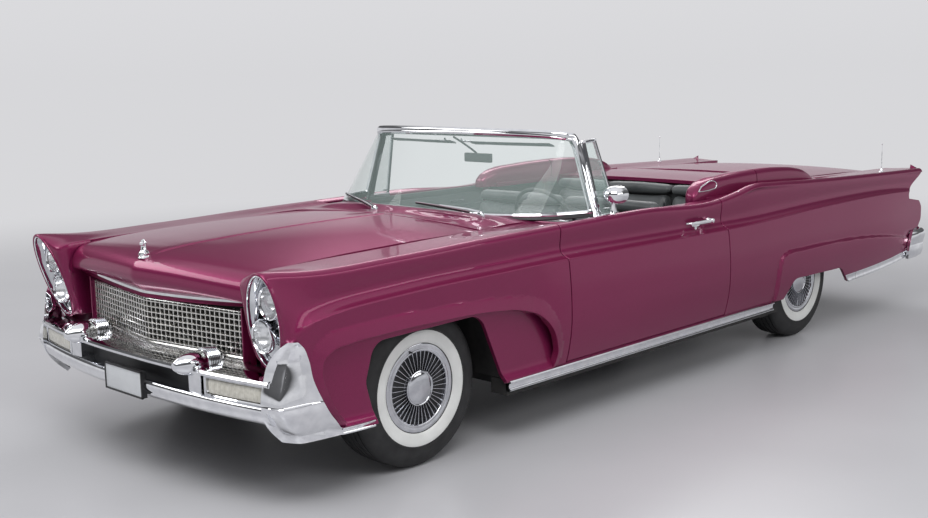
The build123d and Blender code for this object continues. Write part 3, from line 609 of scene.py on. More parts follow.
def side_x(y, z):
    widest, crest_x, crest_z, shoulder_x, shoulder_z, _ = side_values(y)
    widest = widest - 0.016 * smooth((-1.12 - y) / 0.25) * smooth((y + 2.9) / 0.3)
    start = shoulder_z - SHOULDER_ROUND
    below = widest - SILL_TUCK * (np.clip(WIDEST_Z - z, 0, 1) / (WIDEST_Z - SILL_Z)) ** 2
    lower = np.where(z < WIDEST_Z, below, widest - (widest - crest_x)
                     * ((z - WIDEST_Z) / (crest_z - WIDEST_Z)) ** 2)
    share = np.clip((z - crest_z - 0.03) / (start - crest_z - 0.03), 0, 1)
    band = shoulder_x - 0.010 + 0.010 * (1 - np.cos(share * PI)) / 2
    fade = smooth((y - CREST_FADE[0]) / (CREST_FADE[1] - CREST_FADE[0]))
    sharp = band + (crest_x - band) * np.exp(-np.clip(z - crest_z, -0.1, 1) / 0.017)
    soft = crest_x - (crest_x - shoulder_x) * smooth((z - crest_z + 0.10) / (start - crest_z + 0.10))
    upper = soft + (sharp - soft) * fade
    width = 0.010 + 0.03 * (1 - fade)
    h = np.clip(0.5 + 0.5 * (upper - lower) / width, 0, 1)
    return upper + (lower - upper) * h - width * h * (1 - h)


def side_surface(inner_x, offset=None):
    """The body side and its top, in to inner_x, as a surface of (y, v)."""
    def at(y, v):
        y, v = np.asarray(y, float), np.asarray(v, float)
        _, _, _, shoulder_x, shoulder_z, seam_z = side_values(y)
        z, past = height_of(y, v)
        x = side_x(y, z)
        if offset is not None:
            x = x + offset(y, z) * (past <= 0)
        angle = np.clip(past / ROUND_LENGTH, 0, 1) * PI / 2
        in_by = np.maximum(past - ROUND_LENGTH, 0)
        width = shoulder_x - SHOULDER_ROUND - inner_x
        round_x = shoulder_x - SHOULDER_ROUND * (1 - np.cos(angle)) - in_by
        round_z = shoulder_z - SHOULDER_ROUND * (1 - np.sin(angle))
        fall = np.clip(in_by / width, 0, 1.2)
        round_z = round_z - (shoulder_z - seam_z) * (1 - np.cos(fall * PI)) / 2
        x = np.where(past > 0, round_x, x)
        z = np.where(past > 0, round_z, z)
        return np.stack([x, y, z], axis=-1)
    return at


def side_grid(y0, y1, v0, v1):
    """Lines of inner points, closer together at the crest and the shoulder."""
    us = np.arange(y0 + SIDE_STEP / 2, y1, SIDE_STEP)
    vs = [v for low, high, step in SIDE_BANDS for v in np.arange(v0 if low is None else low, high, step)]
    vs += [GRID_SHOULDER + ROUND_LENGTH * k / 6 for k in range(7)]
    vs += list(np.arange(GRID_SHOULDER + ROUND_LENGTH + 0.012, v1, 0.018))
    return us, [v for v in vs if v > v0]


def on_side(points):
    """An outline of (y, z) points on the side, turned to (y, v)."""
    points = np.asarray(points, float)
    return np.stack([points[:, 0], line_at(points[:, 0], points[:, 1])], axis=1)


# Ridge above and behind the recess round the front wheel, front bottom to rear bottom (y, z).
RIDGE = curve([(-2.455, 0.296), (-2.540, 0.380), (-2.600, 0.470), (-2.628, 0.570), (-2.618, 0.660),
               (-2.560, 0.712), (-2.450, 0.729), (-2.180, 0.735), (-1.890, 0.730), (-1.570, 0.712),
               (-1.390, 0.688), (-1.265, 0.640), (-1.190, 0.555), (-1.150, 0.461), (-1.136, 0.385),
               (-1.150, 0.320)])
# Lip where the ridge's bright band turns under.
LIP = curve([(-2.425, 0.300), (-2.500, 0.380), (-2.556, 0.470), (-2.584, 0.560), (-2.575, 0.615),
             (-2.530, 0.648), (-2.450, 0.660), (-2.180, 0.672), (-1.890, 0.670), (-1.600, 0.656),
             (-1.440, 0.634), (-1.318, 0.590), (-1.236, 0.520), (-1.192, 0.440), (-1.176, 0.380),
             (-1.186, 0.312)], 0.010)
LIP_RISE, LIP_BAND = 0.013, 0.052


def below_line(y, z, line, closing, y_range, z_top, rise_of):
    """An offset near a line on the side, which rise_of gives from the distance and whether inside."""
    flat = np.stack([np.ravel(y), np.ravel(z)], axis=1)
    near = np.where((flat[:, 0] > y_range[0]) & (flat[:, 0] < y_range[1]) & (flat[:, 1] < z_top))[0]
    rise = np.zeros(len(flat))
    if len(near):
        within = inside(flat[near], np.concatenate([line, closing]))
        rise[near] = rise_of(distance_to(flat[near], line), within)
    return rise.reshape(np.shape(y))


def ridge_offset(y, z):
    """The band below the ridge flares outwards to the lip."""
    def rise_of(distance, within):
        return np.where(within, LIP_RISE * np.clip(distance / LIP_BAND, 0, 1.3) ** 0.85, 0)
    return below_line(y, z, RIDGE, [(-1.150, 0.1), (-2.455, 0.1)], (-9, -1.0), 0.80, rise_of)


def front_fender_outline():
    """The side of the front fender round the recess, out to the nacelle."""
    gap = EDGE
    rear = DOOR_FRONT_Y - PANEL_GAP - gap
    top = top_line(np.array([rear]), SEAM_X)[0] - gap
    back = [(rear, SILL_Z + 0.004), (rear, line_at(rear, 0.6)), (rear, GRID_SHOULDER), (rear, top)]
    along = np.linspace(rear, NACELLE_Y, 90)
    seam = np.stack([along, top_line(along, SEAM_X) - gap], axis=1)
    front = straight([(NACELLE_Y, seam[-1, 1]), (NACELLE_Y, on_side([(NACELLE_Y, 0.62)])[0, 1])])
    wing = on_side(straight([(NACELLE_Y, 0.62), (-2.650, 0.56), (-2.612, 0.45), (-2.500, 0.318),
                             (-2.470, 0.300)]))
    lip = on_side(LIP)
    sill = [(-1.190, SILL_Z + 0.004)]
    return np.concatenate([straight(back)[:-1], seam[:-1], front[:-1], wing[:-1], lip, sill])


NACELLE_Y = -2.620


def front_fender_skin():
    loop = front_fender_outline()
    us, vs = side_grid(NACELLE_Y, DOOR_FRONT_Y, 0.31, loop[:, 1].max())
    surface = side_surface(SEAM_X, ridge_offset)
    lip_low, lip_high = LIP[:, 0].min(), LIP[:, 0].max()

    def hem(y, v):
        if abs(y - NACELLE_Y) < 0.002:
            return 0.001
        near_lip = lip_low - 0.001 <= y <= lip_high + 0.001 and v < 0.68 and y > -2.60
        return 0.030 if near_lip else 0.014
    return panel(loop, surface, us, vs, hem)


def cove_face():
    """The recessed face round the wheel opening."""
    arch = rounded([(-2.300, 0.296), (-2.346, 0.470), (-2.296, 0.634), (-1.660, 0.644), (-1.508, 0.300)],
                   [0.080, 0.085, 0.105])
    outer = [(-1.512, 0.302), (-1.180, 0.302), (-1.165, 0.400), (-1.190, 0.500), (-1.270, 0.600),
             (-1.400, 0.655), (-1.600, 0.676), (-2.180, 0.692), (-2.500, 0.668), (-2.580, 0.640),
             (-2.598, 0.560), (-2.570, 0.470), (-2.500, 0.370), (-2.430, 0.296)]
    loop = np.concatenate([arch[:-1], straight(outer), [(-2.33, 0.296)]])

    def surface(y, z):
        y, z = np.asarray(y, float), np.asarray(z, float)
        flare = 0.020 * smooth((0.36 - z) / 0.07)
        nose = -0.030 * smooth((-2.30 - y) / 0.30)
        return np.stack([COVE_X - 0.004 + flare + nose + 0 * y, y, z], axis=-1)
    us, vs = np.arange(-2.60, -1.16, 0.014), np.arange(0.30, 0.70, 0.014)
    return panel(loop, surface, us, vs, 0.018)


FLARE = curve([(0.862, 0.330), (0.862, 0.517), (0.885, 0.575), (0.950, 0.597), (1.130, 0.599), (1.650, 0.593),
               (1.930, 0.579), (2.300, 0.545), (2.640, 0.497)])
FLARE_RISE, FLARE_BLEND = 0.014, 0.022


def flare_offset(y, z):
    """The rear side stands proud below the flare line."""
    def rise_of(distance, within):
        return FLARE_RISE * smooth(0.5 + np.where(within, 1, -1) * distance / FLARE_BLEND)
    return below_line(y, z, FLARE, [(3.1, 0.44), (3.1, 0.1), (0.862, 0.1)], (0.80, 9), 0.66, rise_of)


TAIL_EDGE = rounded([(2.700, 0.525), (2.850, 0.548), (2.902, 0.600), (2.902, 0.690), (2.860, 0.733),
                     (2.676, 0.762), (2.672, 0.806), (2.880, 0.925), (2.902, 0.948)],
                    [0.03, 0.05, 0.05, 0.03, 0.012, 0.03, 0.008], 0.010)
REAR_ARCH = rounded([(1.795, 0.303), (1.650, 0.416), (1.046, 0.428), (0.965, 0.310)], [0.10, 0.09])


def rear_skin():
    """Quarter beside the cabin and the fin behind it, as two panels that meet unseen."""
    gap = EDGE
    front = DOOR_REAR_Y + PANEL_GAP + gap
    split = LID_SPLIT_Y
    cabin_top = top_line(np.array([split]), CABIN_HALF)[0] - gap
    arch = on_side(REAR_ARCH)
    cut = arch[np.searchsorted(-arch[:, 0], -split)]
    rear_arch = np.array([p for p in arch if p[0] > split + 0.004])
    front_arch = np.array([p for p in arch if p[0] < split - 0.004])
    along = np.linspace(split, front, 60)
    top = np.stack([along, top_line(along, CABIN_HALF) - gap], axis=1)
    down = straight([(front, top[-1, 1]), (front, SILL_Z + 0.004)])
    sill = straight([(front, SILL_Z + 0.004), tuple(front_arch[-1])])
    seam = straight([(split, cut[1]), (split, cabin_top)])
    loop_a = np.concatenate([seam[:-1], top[:-1], down[:-1], sill[:-1], front_arch[::-1]])
    us, vs = side_grid(front, split, 0.31, loop_a[:, 1].max())

    def front_hem(y, v):
        return THIN if abs(y - split) < 0.002 and v > 0.45 else 0.016
    part_a = panel(loop_a, side_surface(CABIN_HALF, flare_offset), us, vs, front_hem)

    tail = on_side(TAIL_EDGE)
    tail_top_y = 2.904
    deck_top = top_line(np.array([split]), SEAM_X)[0] - gap
    fin_top = top_line(np.array([tail_top_y]), SEAM_X)[0] - gap
    over = straight([tuple(tail[-1]), (tail_top_y, GRID_SHOULDER), (tail_top_y, fin_top)])
    along = np.linspace(tail_top_y, split, 90)
    top = np.stack([along, top_line(along, SEAM_X) - gap], axis=1)
    down = straight([(split, deck_top), (split, cut[1])])
    low = on_side(straight([(1.805, 0.303), (2.140, 0.326), (2.640, 0.366), (2.640, 0.500), (2.700, 0.525)]))
    loop_b = np.concatenate([low[:-1], tail[:-1], over[1:-1], top[:-1], down[:-1], rear_arch[::-1]])
    us, vs = side_grid(split, 2.91, 0.31, loop_b[:, 1].max())

    def rear_hem(y, v):
        if abs(y - split) < 0.002 and v > 0.45:
            return THIN
        return 0.10 if y > 2.66 and 0.50 < v < 0.95 else 0.016
    part_b = panel(loop_b, side_surface(SEAM_X, flare_offset), us, vs, rear_hem)
    return joined([part_a, part_b])


def door_skin():
    gap = EDGE
    front, rear = DOOR_FRONT_Y + gap, DOOR_REAR_Y - gap
    along = np.linspace(rear, front, 60)
    top = np.stack([along, top_line(along, DOOR_INNER_X) - gap], axis=1)
    bottom = DOOR_BOTTOM_Z + 0.004
    up = straight([(rear, bottom), (rear, top[0, 1])])
    down = straight([(front, top[-1, 1]), (front, bottom)])
    sill = straight([(front, bottom), (rear, bottom)])
    loop = np.concatenate([up[:-1], top[:-1], down[:-1], sill[:-1]])
    us, vs = side_grid(front, rear, 0.32, loop[:, 1].max())
    return panel(loop, side_surface(DOOR_INNER_X), us, vs, 0.02)


pair("front_fender_skin", [front_fender_skin(), cove_face()], PAINT, replaces="front_fender")
pair("rear_quarter_skin", rear_skin(), PAINT, replaces="rear_quarter")
pair("door_skin", door_skin(), PAINT, "door_{}_body", "door")


# ---------------------------------------------------------------- lamp nacelles
POD_X, POD_Z, POD_BACK_Y = 0.845, 0.775, -2.655
POD_MINOR, POD_MAJOR, POD_CANT = 0.096, 0.196, math.radians(15)
NOSE_TIP_Y, NOSE_TIP_Z, NOSE_LEAN = -2.805, 0.988, 0.245
RIM_WIDTH, NACELLE_FLOOR = 0.013, 0.585
NACELLE_SHARES = (0, 0.12, 0.25, 0.38, 0.50, 0.62, 0.72, 0.80, 0.86, 0.91, 0.95, 0.98, 1.0)
BOWL_SIDES = 72
BEAD_LIFT, BEAD_THICK = 0.0005, 0.0036


def nose_y(z):
    return NOSE_TIP_Y + (NOSE_TIP_Z - z) * NOSE_LEAN


def pod_point(angle, grow):
    """(x, z) on the canted oval, at a direction seen from its centre."""
    along, across = np.cos(angle - PI / 2 + POD_CANT), np.sin(angle - PI / 2 + POD_CANT)
    radius = 1 / np.sqrt((along / (POD_MAJOR + grow)) ** 2 + (across / (POD_MINOR + grow)) ** 2)
    return POD_X + radius * np.cos(angle), POD_Z + radius * np.sin(angle)


def fender_section(y):
    """Closed section of the fender's front at y: outer side, top, inner wall and underside."""
    z0 = line_at(np.array([y]), np.array([NACELLE_FLOOR]))[0]
    v = np.concatenate([np.linspace(z0, 0.78, 14), np.linspace(0.79, GRID_SHOULDER, 16),
                        GRID_SHOULDER + ROUND_LENGTH * np.arange(1, 7) / 6])
    top = top_line(np.array([y]), SEAM_X)[0] - 0.014
    v = np.concatenate([v, np.linspace(v[-1], top, 10)[1:]])
    pts = side_surface(SEAM_X, ridge_offset)(np.full(len(v), y), v)[:, [0, 2]]
    corner = pts[-1]
    fold = [corner + (-0.009, -0.003), corner + (-0.013, -0.014)]
    wall = [(SEAM_X, z) for z in np.linspace(corner[1] - 0.03, NACELLE_FLOOR + 0.03, 16)]
    under = [(x, NACELLE_FLOOR) for x in np.linspace(SEAM_X + 0.02, pts[0][0] - 0.02, 10)]
    return np.array([*pts, *fold, *wall, (SEAM_X + 0.006, NACELLE_FLOOR + 0.008), *under])


def nacelle():
    """The fender's nose drawn in to the canted oval of its lamps, with a rolled rim."""
    rings = []
    reach = NOSE_TIP_Y - NACELLE_Y
    for share in NACELLE_SHARES:
        y = NACELLE_Y + reach * share
        section = fender_section(max(y, -2.80))
        angle = np.arctan2(section[:, 1] - POD_Z, section[:, 0] - POD_X)
        oval = np.stack(pod_point(angle, RIM_WIDTH), axis=1)
        drawn = 1 - (1 - share**3.0) ** (1 / 3.0)
        flat = section + (oval - section) * drawn
        forward = NACELLE_Y + (nose_y(flat[:, 1]) - NACELLE_Y) * share
        rings.append(np.stack([flat[:, 0], forward, flat[:, 1]], axis=1))
    last = rings[-1]
    angle = np.arctan2(last[:, 2] - POD_Z, last[:, 0] - POD_X)
    for turn in (30, 60, 90, 120, 150, 180):
        a = math.radians(turn)
        x, z = pod_point(angle, RIM_WIDTH - RIM_WIDTH / 2 * (1 - math.cos(a)))
        rings.append(np.stack([x, nose_y(z) - 0.006 * math.sin(a), z], axis=1))
    x, z = pod_point(angle, 0)
    rings.append(np.stack([x, nose_y(z) + 0.016, z], axis=1))
    return turned(loft(rings))


def lamp_bowl():
    """The bright funnel inside the oval, narrowing back to the lamps' plate."""
    angle = angles(BOWL_SIDES)
    rings = []
    for share, grow in ((0, 0.0), (0.06, -0.006), (0.3, -0.016), (0.94, -0.024), (1.0, -0.028)):
        x, z = pod_point(angle, grow)
        front, back = nose_y(z) + 0.012, POD_BACK_Y - 0.03
        rings.append(np.stack([x, front + (back - front) * share, z], axis=1))
    plate_y = POD_BACK_Y - 0.026
    x, z = pod_point(angle, -0.06)
    rings.append(np.stack([x, np.full(BOWL_SIDES, plate_y), z], axis=1))
    rings.append(np.tile([POD_X, plate_y, POD_Z], (BOWL_SIDES, 1)))
    return loft(rings)


def lamp_bezel():
    """A thin bright bead inside the rolled rim."""
    rings = []
    for around in np.linspace(0, 2 * PI, BOWL_SIDES + 1):
        x, z = pod_point(around, BEAD_LIFT + BEAD_THICK * np.cos(angles(8)))
        rings.append(np.stack([x, nose_y(z) - BEAD_LIFT + BEAD_THICK * np.sin(angles(8)), z], axis=1))
    return loft(rings)


LAMP_RADIUS = 0.0630
LAMPS = ((0.865, 0.850), (0.811, 0.712))
LAMP_FACE_Y = -2.722
LENS_ROWS, LENS_SIDES = 20, 96
FLUTE_DEPTH, FLUTE_PITCH = 0.0012, 0.0095


def facing_lamp(profile, x, z):
    return spun(profile, (x, LAMP_FACE_Y, z), (0, -1, 0), 56)


def lamp_ring(x, z):
    r = LAMP_RADIUS
    return facing_lamp([(r - 0.006, 0.018), (r - 0.002, 0.024), (r + 0.003, 0.022), (r + 0.006, 0.014),
                        (r + 0.006, 0)], x, z)


def lamp_reflector(x, z):
    r = LAMP_RADIUS - 0.004
    return facing_lamp([(r, 0.012), (r * 0.86, -0.012), (r * 0.6, -0.030), (r * 0.3, -0.038), (0.016, -0.040),
                        (0.014, -0.012), (0.001, -0.006)], x, z)


def lamp_lens(x, z):
    """A sealed lens: domed, with upright flutes."""
    r = LAMP_RADIUS - 0.002
    rings = []
    for k in range(LENS_ROWS + 1):
        s = math.sin(k / LENS_ROWS * PI / 2)
        px, pz = circle(r * s, LENS_SIDES).T
        dome = 0.016 + 0.017 * (1 - s * s)
        flute = FLUTE_DEPTH * np.abs(np.sin(px / FLUTE_PITCH * PI)) * (1 - s**6) * (np.abs(pz) < r * 0.82)
        rings.append(np.stack([x + px, LAMP_FACE_Y - dome - flute, z + pz], axis=1))
    return loft(rings)


def headlamps():
    piece("lamp_bowl_left", lamp_bowl(), COVER_CHROME, replaces=("headlamps",))
    piece("lamp_bowl_right", mirrored(lamp_bowl()), COVER_CHROME)
    pair("lamp_bezel", lamp_bezel(), CHROME)
    pair("lamp_rings", [lamp_ring(*at) for at in LAMPS], CHROME)
    pair("lamp_reflectors", [lamp_reflector(*at) for at in LAMPS], REFLECTOR)
    pair("lamp_lenses", [lamp_lens(*at) for at in LAMPS], CLEAR)


pair("nacelle", nacelle(), PAINT)
headlamps()


# ---------------------------------------------------------------- hood
HOOD_PROFILE = ((-1.391, 1.000), (-1.700, 1.003), (-2.050, 0.999), (-2.350, 0.990), (-2.560, 0.979),
                (-2.660, 0.969), (-2.725, 0.955), (-2.768, 0.935), (-2.790, 0.913), (-2.798, 0.888),
                (-2.796, 0.861), (-2.782, 0.835), (-2.758, 0.814), (-2.738, 0.797))
RIB_HALF, RIB_RISE = 0.031, 0.0045
# Ornament: (half width, height) of its stem, (radius, height) of its foot, (out, height) of its two side rods
ORNAMENT_STEM = ((0.013, 0), (0.017, 0.012), (0.015, 0.022), (0.009, 0.030), (0.0075, 0.050), (0.011, 0.054),
                 (0.011, 0.062), (0.007, 0.066), (0.0065, 0.074), (0.002, 0.077))
ORNAMENT_FOOT = ((0.011, 0.012), (0.015, 0.011), (0.022, 0.008), (0.026, 0.003), (0.026, 0), (0, 0))
ORNAMENT_ROD = ((0.016, 0.008), (0.017, 0.040), (0.013, 0.066), (0, 0.0745))


def hood_surface():
    """The hood as a surface of (x, length along its middle), and that length."""
    line = curve(HOOD_PROFILE, 0.010)
    length = distance_along(line)
    total = length[-1]

    def at(x, q):
        x, q = np.asarray(x, float), np.asarray(q, float)
        y, z = row_at(np.column_stack([length, line]), q)
        share = np.abs(x) / HOOD_HALF
        bend = np.sqrt(share**2 + 0.010**2) - 0.010
        back = -0.020 + 0.082 * bend + 0.010 * share**2
        face = smooth((q - (total - 0.34)) / 0.22)
        drop = 0.028 * share**2 + 0.006 * bend
        low = smooth((q - (total - 0.10)) / 0.10)
        dz = -drop * (1 - low) + low * 0.025 * share**2
        rib = smooth((RIB_HALF - np.abs(x)) / 0.007 + 0.5) * smooth((total - 0.235 - q) / 0.05)
        return np.stack([x, y + back * face, z + dz + RIB_RISE * rib], axis=-1)
    return at, total


def hood_skin():
    surface, total = hood_surface()
    rib_edge = [RIB_HALF + d for d in (-0.0045, -0.002, 0, 0.002, 0.0045)]
    xs = [*np.linspace(0, RIB_HALF - 0.006, 3), *rib_edge, *np.linspace(RIB_HALF + 0.008, HOOD_HALF - EDGE,
                                                                        46)]
    xs = np.array([-x for x in reversed(xs[1:])] + xs)
    qs = np.concatenate([np.arange(EDGE, total - 0.36, 0.022), np.linspace(total - 0.36, total - 0.002, 56)])
    u, v = np.meshgrid(xs, qs, indexing="ij")
    verts = surface(u.ravel(), v.ravel())
    normals = surface_normals(surface, u.ravel(), v.ravel())
    faces = grid_faces(len(xs), len(qs))
    if normals[len(qs) * (len(xs) // 2)][2] > 0:
        faces = [f[::-1] for f in faces]
    index = np.arange(len(xs) * len(qs)).reshape(len(xs), len(qs))
    loop = np.concatenate([index[0, :], index[1:, -1], index[-1, -2::-1], index[-2:0:-1, 0]])
    edge = verts[loop]
    inward = np.array((0, -0.6, -1.0))
    rows, base = [verts], len(verts)
    for k, depth in enumerate((0.003, 0.022)):
        rows.append(edge + inward / 1.166 * depth)
        previous = loop if k == 0 else np.arange(base - len(loop), base)
        current = np.arange(base, base + len(loop))
        for i in range(len(loop)):
            j = (i + 1) % len(loop)
            faces.append((previous[i], previous[j], current[j], current[i]))
        base += len(loop)
    piece("hood_skin", (np.concatenate(rows), faces), PAINT, "hood_body", replaces=("hood",))


def hood_trim():
    """Bright moulding along the hood's lip, and the upright ornament with its base."""
    surface, total = hood_surface()
    xs = np.linspace(-HOOD_HALF + 0.012, HOOD_HALF - 0.012, 90)
    path = surface(xs, np.full(90, total - 0.006)) + (0, -0.002, 0)
    section = [(0.004, -0.006), (-0.004, -0.007), (-0.008, -0.003), (-0.007, 0.003), (-0.003, 0.007),
               (0.004, 0.006)]
    piece("hood_lip_moulding", sweep(path, section), CHROME, "hood_body")
    x, y, z = surface(np.array([0.0]), np.array([total - 0.205]))[0]
    stem = solid([[(x + wide * c, y + wide * 1.5 * s, z + tall - 0.001) for c, s in circle(1, 20)]
                  for wide, tall in ORNAMENT_STEM])
    foot = spun(ORNAMENT_FOOT, (x, y, z - 0.004), Z_AXIS, 40)
    cage = [tube(curve([(x + side * out, y, z + up) for out, up in ORNAMENT_ROD], 0.004), 0.0022, 8, Y_AXIS)
            for side in (-1, 1)]
    piece("hood_ornament", [stem, foot, *cage], CHROME, "hood_body")


hood_skin()
hood_trim()


# ---------------------------------------------------------------- cowl, lids and cabin surround
def both_ways(centre_y, half):
    """A line across the car from its (x, y) points on the driver's side, end to centre."""
    return np.array([*((-x, y) for x, y in half), (0, centre_y), *half[::-1]])


GLASS_BASE = both_ways(-1.232, ((0.852, -0.712), (0.838, -0.800), (0.785, -0.930), (0.690, -1.045),
                                (0.520, -1.135), (0.280, -1.205)))
GLASS_HEAD = both_ways(-0.868, ((0.726, -0.700), (0.716, -0.735), (0.680, -0.768), (0.590, -0.800),
                                (0.420, -0.836), (0.210, -0.860)))
GLASS_FOOT_Z, GLASS_TOP_Z = 1.000, 1.372


def cowl_surface(x, y):
    x, y = np.asarray(x, float), np.asarray(y, float)
    share = np.abs(x) / HOOD_HALF
    z = 1.000 - 0.028 * share**2
    z = z + 0.020 * smooth((y + 1.36) / 0.16) * (1 - smooth((np.abs(x) - 0.55) / 0.25))
    well = 0.012 * np.exp(-(((np.abs(x) - 0.33) / 0.16) ** 2 + ((y + 1.295) / 0.05) ** 2))
    edge = smooth((np.abs(x) - 0.70) / 0.16)
    z = z - well - edge * 0.004
    return np.stack([x, y, z], axis=-1)


def cowl():
    front = HOOD_REAR_Y + PANEL_GAP + EDGE
    base = curve(GLASS_BASE, 0.014)
    half = SEAM_X - EDGE
    rear_y = DOOR_FRONT_Y - PANEL_GAP
    loop = [(half, front), (half, rear_y), (CABIN_HALF - EDGE, rear_y + 0.008), (CABIN_HALF - EDGE, -0.704)]
    left = straight(loop, 0.014)
    under = base[::-1] * (0.985, 1.0) + (0, 0.012)
    right = left[::-1] * (-1, 1)
    across = straight([(-half, front), (half, front)], 0.014)
    outline = np.concatenate([left, under[1:-1], right[:-1], across[:-1]])
    us, vs = np.arange(-0.85, 0.86, 0.018), np.arange(-1.38, -0.70, 0.018)
    piece("cowl_skin", panel(outline, cowl_surface, us, vs), PAINT, replaces=("cowl_panel",))


LID_ROLL = 0.075                # the rear edge starts to turn down this far ahead


def lid_surface(half, edge_z, crown, y1, tip):
    """A lid's skin as a surface of (x, y): crowned across, gently curved along, its rear edge turned down."""
    def surface(x, y):
        x, y = np.asarray(x, float), np.asarray(y, float)
        share = np.clip(np.abs(x) / half, 0, 1.05)
        z = row_at(edge_z, y)[0] + crown * (1 - share**2.2)
        roll = smooth((y - (y1 - LID_ROLL)) / LID_ROLL) * tip
        return np.stack([x, y + roll * 0.3, z - roll], axis=-1)
    return surface


def crowned_lid(name, y0, body, node, shape):
    half, _, _, y1, _ = shape
    x, front, rear = half - EDGE, y0 + EDGE, y1 - EDGE
    outline = straight([(-x, front), (x, front), (x, rear), (-x, rear), (-x, front)], 0.016)[:-1]
    us, vs = np.arange(-half, half, 0.018), np.arange(y0, y1, 0.018)
    piece(name, panel(outline, lid_surface(*shape), us, vs, 0.020), PAINT, body, replaces=(node,))


# Half width, (y, z) of the side edges, crown, rear end and how far the rear edge turns down
DECK_SHAPE = (HOOD_HALF, ((1.622, 0.978), (2.0, 0.972), (2.4, 0.960), (2.690, 0.944)), 0.020, 2.690, 0.034)
STOWAGE_SHAPE = (0.736, ((0.941, 0.986), (1.27, 0.990), (1.600, 0.980)), 0.012, 1.600, 0.0)
cowl()
crowned_lid("deck_lid_skin", 1.622, "deck_lid_body", "deck_lid", DECK_SHAPE)
crowned_lid("stowage_lid_skin", 0.941, "stowage_lid_body", "stowage_lid", STOWAGE_SHAPE)


# Humps beside the rear seat: y, top z, inner x, outer x, base z, corner radius share
FAIRING = ((0.196, 0.990, 0.800, 0.838, 0.984, 0.9), (0.204, 1.008, 0.786, 0.846, 0.982, 0.9),
           (0.225, 1.030, 0.772, 0.851, 0.982, 0.8), (0.275, 1.055, 0.758, 0.854, 0.980, 0.7),
           (0.372, 1.077, 0.748, 0.855, 0.978, 0.6), (0.508, 1.086, 0.743, 0.855, 0.976, 0.6),
           (0.660, 1.093, 0.742, 0.855, 0.976, 0.6), (0.852, 1.096, 0.742, 0.855, 0.976, 0.6))
LID_HUMP = ((0.862, 1.096, 0.742, 0.853, 0.976, 0.6), (1.000, 1.096, 0.742, 0.853, 0.976, 0.6),
            (1.180, 1.088, 0.744, 0.853, 0.976, 0.6), (1.350, 1.072, 0.748, 0.852, 0.976, 0.7),
            (1.460, 1.050, 0.752, 0.850, 0.976, 0.8), (1.540, 1.018, 0.760, 0.846, 0.974, 0.9),
            (1.588, 0.988, 0.775, 0.838, 0.972, 0.9))
HUMP_FOOT = 0.955


def hump_section(rows, y):
    """Middle, half width, base, height and corner power of the hump at y."""
    top, inner, outer, base, soft = row_at(rows, y)
    return (inner + outer) / 2, (outer - inner) / 2, base, top - base, 2.0 / (1.9 + (1 - soft) * 6)


def hump(rows):
    """A rounded fairing: arched sections along the belt."""
    ends = rows[0][0], rows[-1][0]
    rings = []
    for y in np.unique([*np.linspace(*ends, 60), *(row[0] for row in rows)]):
        middle, half, base, tall, power = hump_section(rows, y)
        arch = [(math.cos(a), math.sin(a)) for a in np.linspace(0, PI, 25)]
        ring = [(middle + half * math.copysign(abs(c) ** power, c), y, base + tall * abs(s) ** power)
                for c, s in arch]
        rings.append(ring + [(middle - half, y, HUMP_FOOT), (middle + half, y, HUMP_FOOT)])
    return turned(solid(rings))


def fairings():
    piece("side_fairings_skin", both(hump(FAIRING)), PAINT, replaces=("side_fairings",))
    piece("stowage_lid_humps", both(hump(LID_HUMP)), PAINT, "stowage_lid_body")
    piece("stowage_lid_edges", both(box_mesh(0.736, 0.855, 0.941, 1.599, 0.958, 0.986, 0.003)), PAINT,
          "stowage_lid_body")
    piece("belt_ledges", both(box_mesh(0.735, 0.862, 0.30, 0.854, 0.952, 0.980, 0.004)), PAINT)


fairings()


# ---------------------------------------------------------------- inner panels of the lids
RIB_WIDE, RIB_DEEP, PANEL_LIFT = 0.030, 0.016, 0.013


def stamped(u, v, lines):
    """How far the stamping stands down at (u, v): 1 along the given lines, 0 away from them."""
    flat = np.stack([np.ravel(u), np.ravel(v)], axis=1)
    depth = np.zeros(len(flat))
    for line in lines:
        depth = np.maximum(depth, smooth((RIB_WIDE - distance_to(flat, straight(line, 0.01)))
                                         / (0.5 * RIB_WIDE)))
    return depth.reshape(np.shape(u))


def inner_panel(name, surface, us, vs, body, lines):
    """A pressed inner panel under a lid's skin, with ribs that stand down along the lines."""
    u, v = np.meshgrid(us, vs, indexing="ij")
    inset = np.minimum(np.minimum(u - us[0], us[-1] - u), np.minimum(v - vs[0], vs[-1] - v))
    down = PANEL_LIFT * smooth(inset / 0.012 + 0.3) + RIB_DEEP * stamped(u, v, lines) * smooth(inset / 0.05)
    outer = surface(u.ravel(), v.ravel())
    normal = surface_normals(surface, u.ravel(), v.ravel())
    normal = normal * (1 if normal[len(normal) // 2][2] > 0 else -1)
    lower = outer - normal * (0.003 + down.ravel())[:, None]
    upper = lower + normal * 0.0015
    faces, base = grid_faces(len(us), len(vs)), len(lower)
    index = np.arange(base).reshape(len(us), len(vs))
    rim = np.concatenate([index[0, :-1], index[:-1, -1], index[-1, :0:-1], index[:0:-1, 0]])
    walls = [(a, b, b + base, a + base) for a, b in zip(rim, np.roll(rim, -1))]
    under = [tuple(i + base for i in f[::-1]) for f in faces]
    piece(name, (np.concatenate([lower, upper]), faces + under + walls), PAINT, body)


def rib_frame(half, ends):
    """Ribs along both sides and straight across at the ends."""
    along = [[(x, ends[0]), (x, ends[1])] for x in (-half, half)]
    return along + [[(-half, y), (half, y)] for y in ends]


